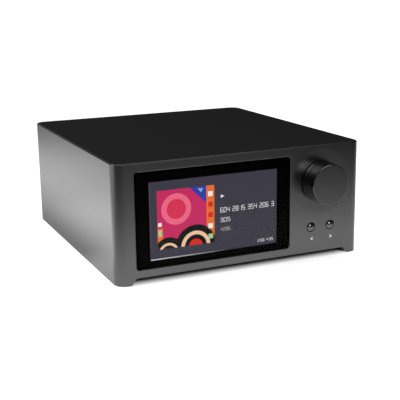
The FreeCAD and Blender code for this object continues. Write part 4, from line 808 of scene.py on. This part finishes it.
def make_sweep():
    """Pale floor: white with the object's shadow where it is seen directly; its colour holds a painted pool
    of light and painted shade, and what metal and glass see is a painted reflection.
    """
    material, tree, shader = new_material("Pale sweep")
    shader.inputs["Roughness"].default_value = FLOOR_ROUGHNESS
    shader.inputs["Specular IOR Level"].default_value = 0.0
    shader.inputs["Emission Strength"].default_value = 1.0
    coordinates = tree.nodes.new("ShaderNodeTexCoord")
    axes = split_axes(tree, coordinates.outputs["Object"])
    x, y = axes["X"], axes["Y"]
    path = tree.nodes.new("ShaderNodeLightPath")

    # Painted light in the floor's colour: pale behind the object and in a pool before it, painted shade
    # further to the front and on the rear floor right of the left side
    reach = distance(tree, x, y, POOL, POOL_X_WEIGHT)
    left_fade = between(tree, smooth(tree, x, *LEFT_RAMP), LEFT_LEVEL, 1.0)
    rear_fade = between(tree, smooth(tree, y, *REAR_RAMP), 1.0, REAR_LEVEL)
    behind = product(tree, smooth(tree, y, *BEHIND_RAMP), left_fade, rear_fade)
    shade = product(tree, smooth(tree, x, *SHADE_X_RAMP), smooth(tree, y, *SHADE_Y_RAMP))
    before = product(tree, smooth(tree, reach, *POOL_RAMP), POOL_LEVEL)
    painted_light = product(tree, maths(tree, "MAXIMUM", before, behind), between(tree, shade, 1.0, SHADE_LEVEL))
    tree.links.new(mixed(tree, painted_light, PAINTED_SHADE_FLOOR, PALE_FLOOR), shader.inputs["Base Color"])

    # Painted reflection: what metal and glass see of the floor, a glow that changes place by place
    ends = product(tree, smooth(tree, x, *RIGHT_END_RAMP), smooth(tree, x, *LEFT_END_RAMP))
    far_glow = product(tree, smooth(tree, reach, *FAR_GLOW_RAMP), ends, FAR_GLOW_LEVEL)
    painted_reflection = maths(tree, "MULTIPLY_ADD", smooth(tree, reach, *GLOW_RAMP), GLOW_LEVEL, far_glow)
    painted_reflection = maths(tree, "MAXIMUM", painted_reflection, product(tree, behind, BEHIND_GLOW))
    lobe = smooth(tree, distance(tree, x, y, LOBE), *LOBE_RAMP)
    painted_reflection = maths(tree, "MULTIPLY_ADD", lobe, LOBE_LEVEL, painted_reflection)
    painted_reflection = product(tree, painted_reflection, maths(tree, "MAXIMUM", between(tree, shade, 1.0, SHADE_GLOW), 0.0))
    mirroring = maths(tree, "MAXIMUM", path.outputs["Is Glossy Ray"], path.outputs["Is Transmission Ray"])

    # Direct light: where it is dimmed, the lamps make the pale floor white again, but for the shadow
    dimmed = product(tree, painted_light, smooth(tree, x, *DIMMED_RAMP))
    direct = product(tree, path.outputs["Is Camera Ray"], between(tree, dimmed, 1.0, DIMMED_LEVEL))
    beside = smooth(tree, maths(tree, "ABSOLUTE", x), *BESIDE_RAMP)
    # The ramp before the front edge paints the soft edge of the object's shadow
    beyond = smooth(tree, maths(tree, "ABSOLUTE", y), *BEYOND_RAMP)
    open_floor = maths(tree, "MAXIMUM", beside, beyond)
    seen = maths(tree, "MAXIMUM", direct, product(tree, mirroring, painted_reflection))
    tree.links.new(product(tree, open_floor, seen), shader.inputs["Emission Color"])
    return material


def make_floor():
    mesh = bpy.data.meshes.new("floor")
    drawing = bmesh.new()
    bmesh.ops.create_grid(drawing, x_segments=1, y_segments=1, size=FLOOR_HALF)
    drawing.to_mesh(mesh)
    drawing.free()
    mesh.materials.append(make_sweep())
    floor = bpy.data.objects.new("floor", mesh)
    bpy.context.scene.collection.objects.link(floor)


# World: ramps over the direction looked in, and levels of light

WALL_RAMP, WALL_LEVEL = (0.1, 0.8), 0.25
ROOM_RAMP, ROOM_LEVEL = (-0.1, -0.8), 0.12
LOW_RAMP = (0.6, 0.1)
DIM_LEVEL = 0.02


def make_world():
    """Dim room, brighter near the horizon behind and before the object; white where it is seen directly."""
    world = bpy.data.worlds.new("world")
    world.use_nodes = True
    tree = world.node_tree
    background = tree.nodes["Background"]
    coordinates = tree.nodes.new("ShaderNodeTexCoord")
    axes = split_axes(tree, coordinates.outputs["Generated"])
    low = smooth(tree, axes["Z"], *LOW_RAMP)
    wall = product(tree, smooth(tree, axes["Y"], *WALL_RAMP), low)
    room = product(tree, smooth(tree, axes["Y"], *ROOM_RAMP), low)
    level = maths(tree, "MULTIPLY_ADD", wall, WALL_LEVEL, DIM_LEVEL)
    level = maths(tree, "MULTIPLY_ADD", room, ROOM_LEVEL, level)
    path = tree.nodes.new("ShaderNodeLightPath")
    level = maths(tree, "MAXIMUM", level, path.outputs["Is Camera Ray"])
    tree.links.new(level, background.inputs["Color"])
    bpy.context.scene.world = world


def add_lamp(name, kind, place, target, strength, **settings):
    """A lamp at its place that shines towards the target and isn't seen itself."""
    data = bpy.data.lights.new(name, kind)
    data.energy = strength
    for label, value in settings.items():
        setattr(data, label, value)
    lamp = bpy.data.objects.new(name, data)
    lamp.location = place
    aim = Vector(target) - Vector(place)
    lamp.rotation_mode = "QUATERNION"
    lamp.rotation_quaternion = aim.to_track_quat("-Z", "Y")
    lamp.visible_camera = False
    bpy.context.scene.collection.objects.link(lamp)


make_floor()
make_world()
add_lamp("overhead", "SUN", place=(0, 0, 1.5), target=(0, 0, 0), strength=1.3, angle=math.radians(65))
add_lamp(
    "left_box",
    "AREA",
    place=(-0.9, 0.2, 0.5),
    target=(-0.1, 0, 0.04),
    strength=11.0,
    shape="RECTANGLE",
    size=0.8,
    size_y=0.8,
)
add_lamp(
    "front_box",
    "AREA",
    place=(-0.08, -1.08, 0.58),
    target=(0.07, -0.12, 0.03),
    strength=3.6,
    shape="RECTANGLE",
    size=0.5,
    size_y=0.25,
)

bpy.context.scene.view_settings.view_transform = "Standard"
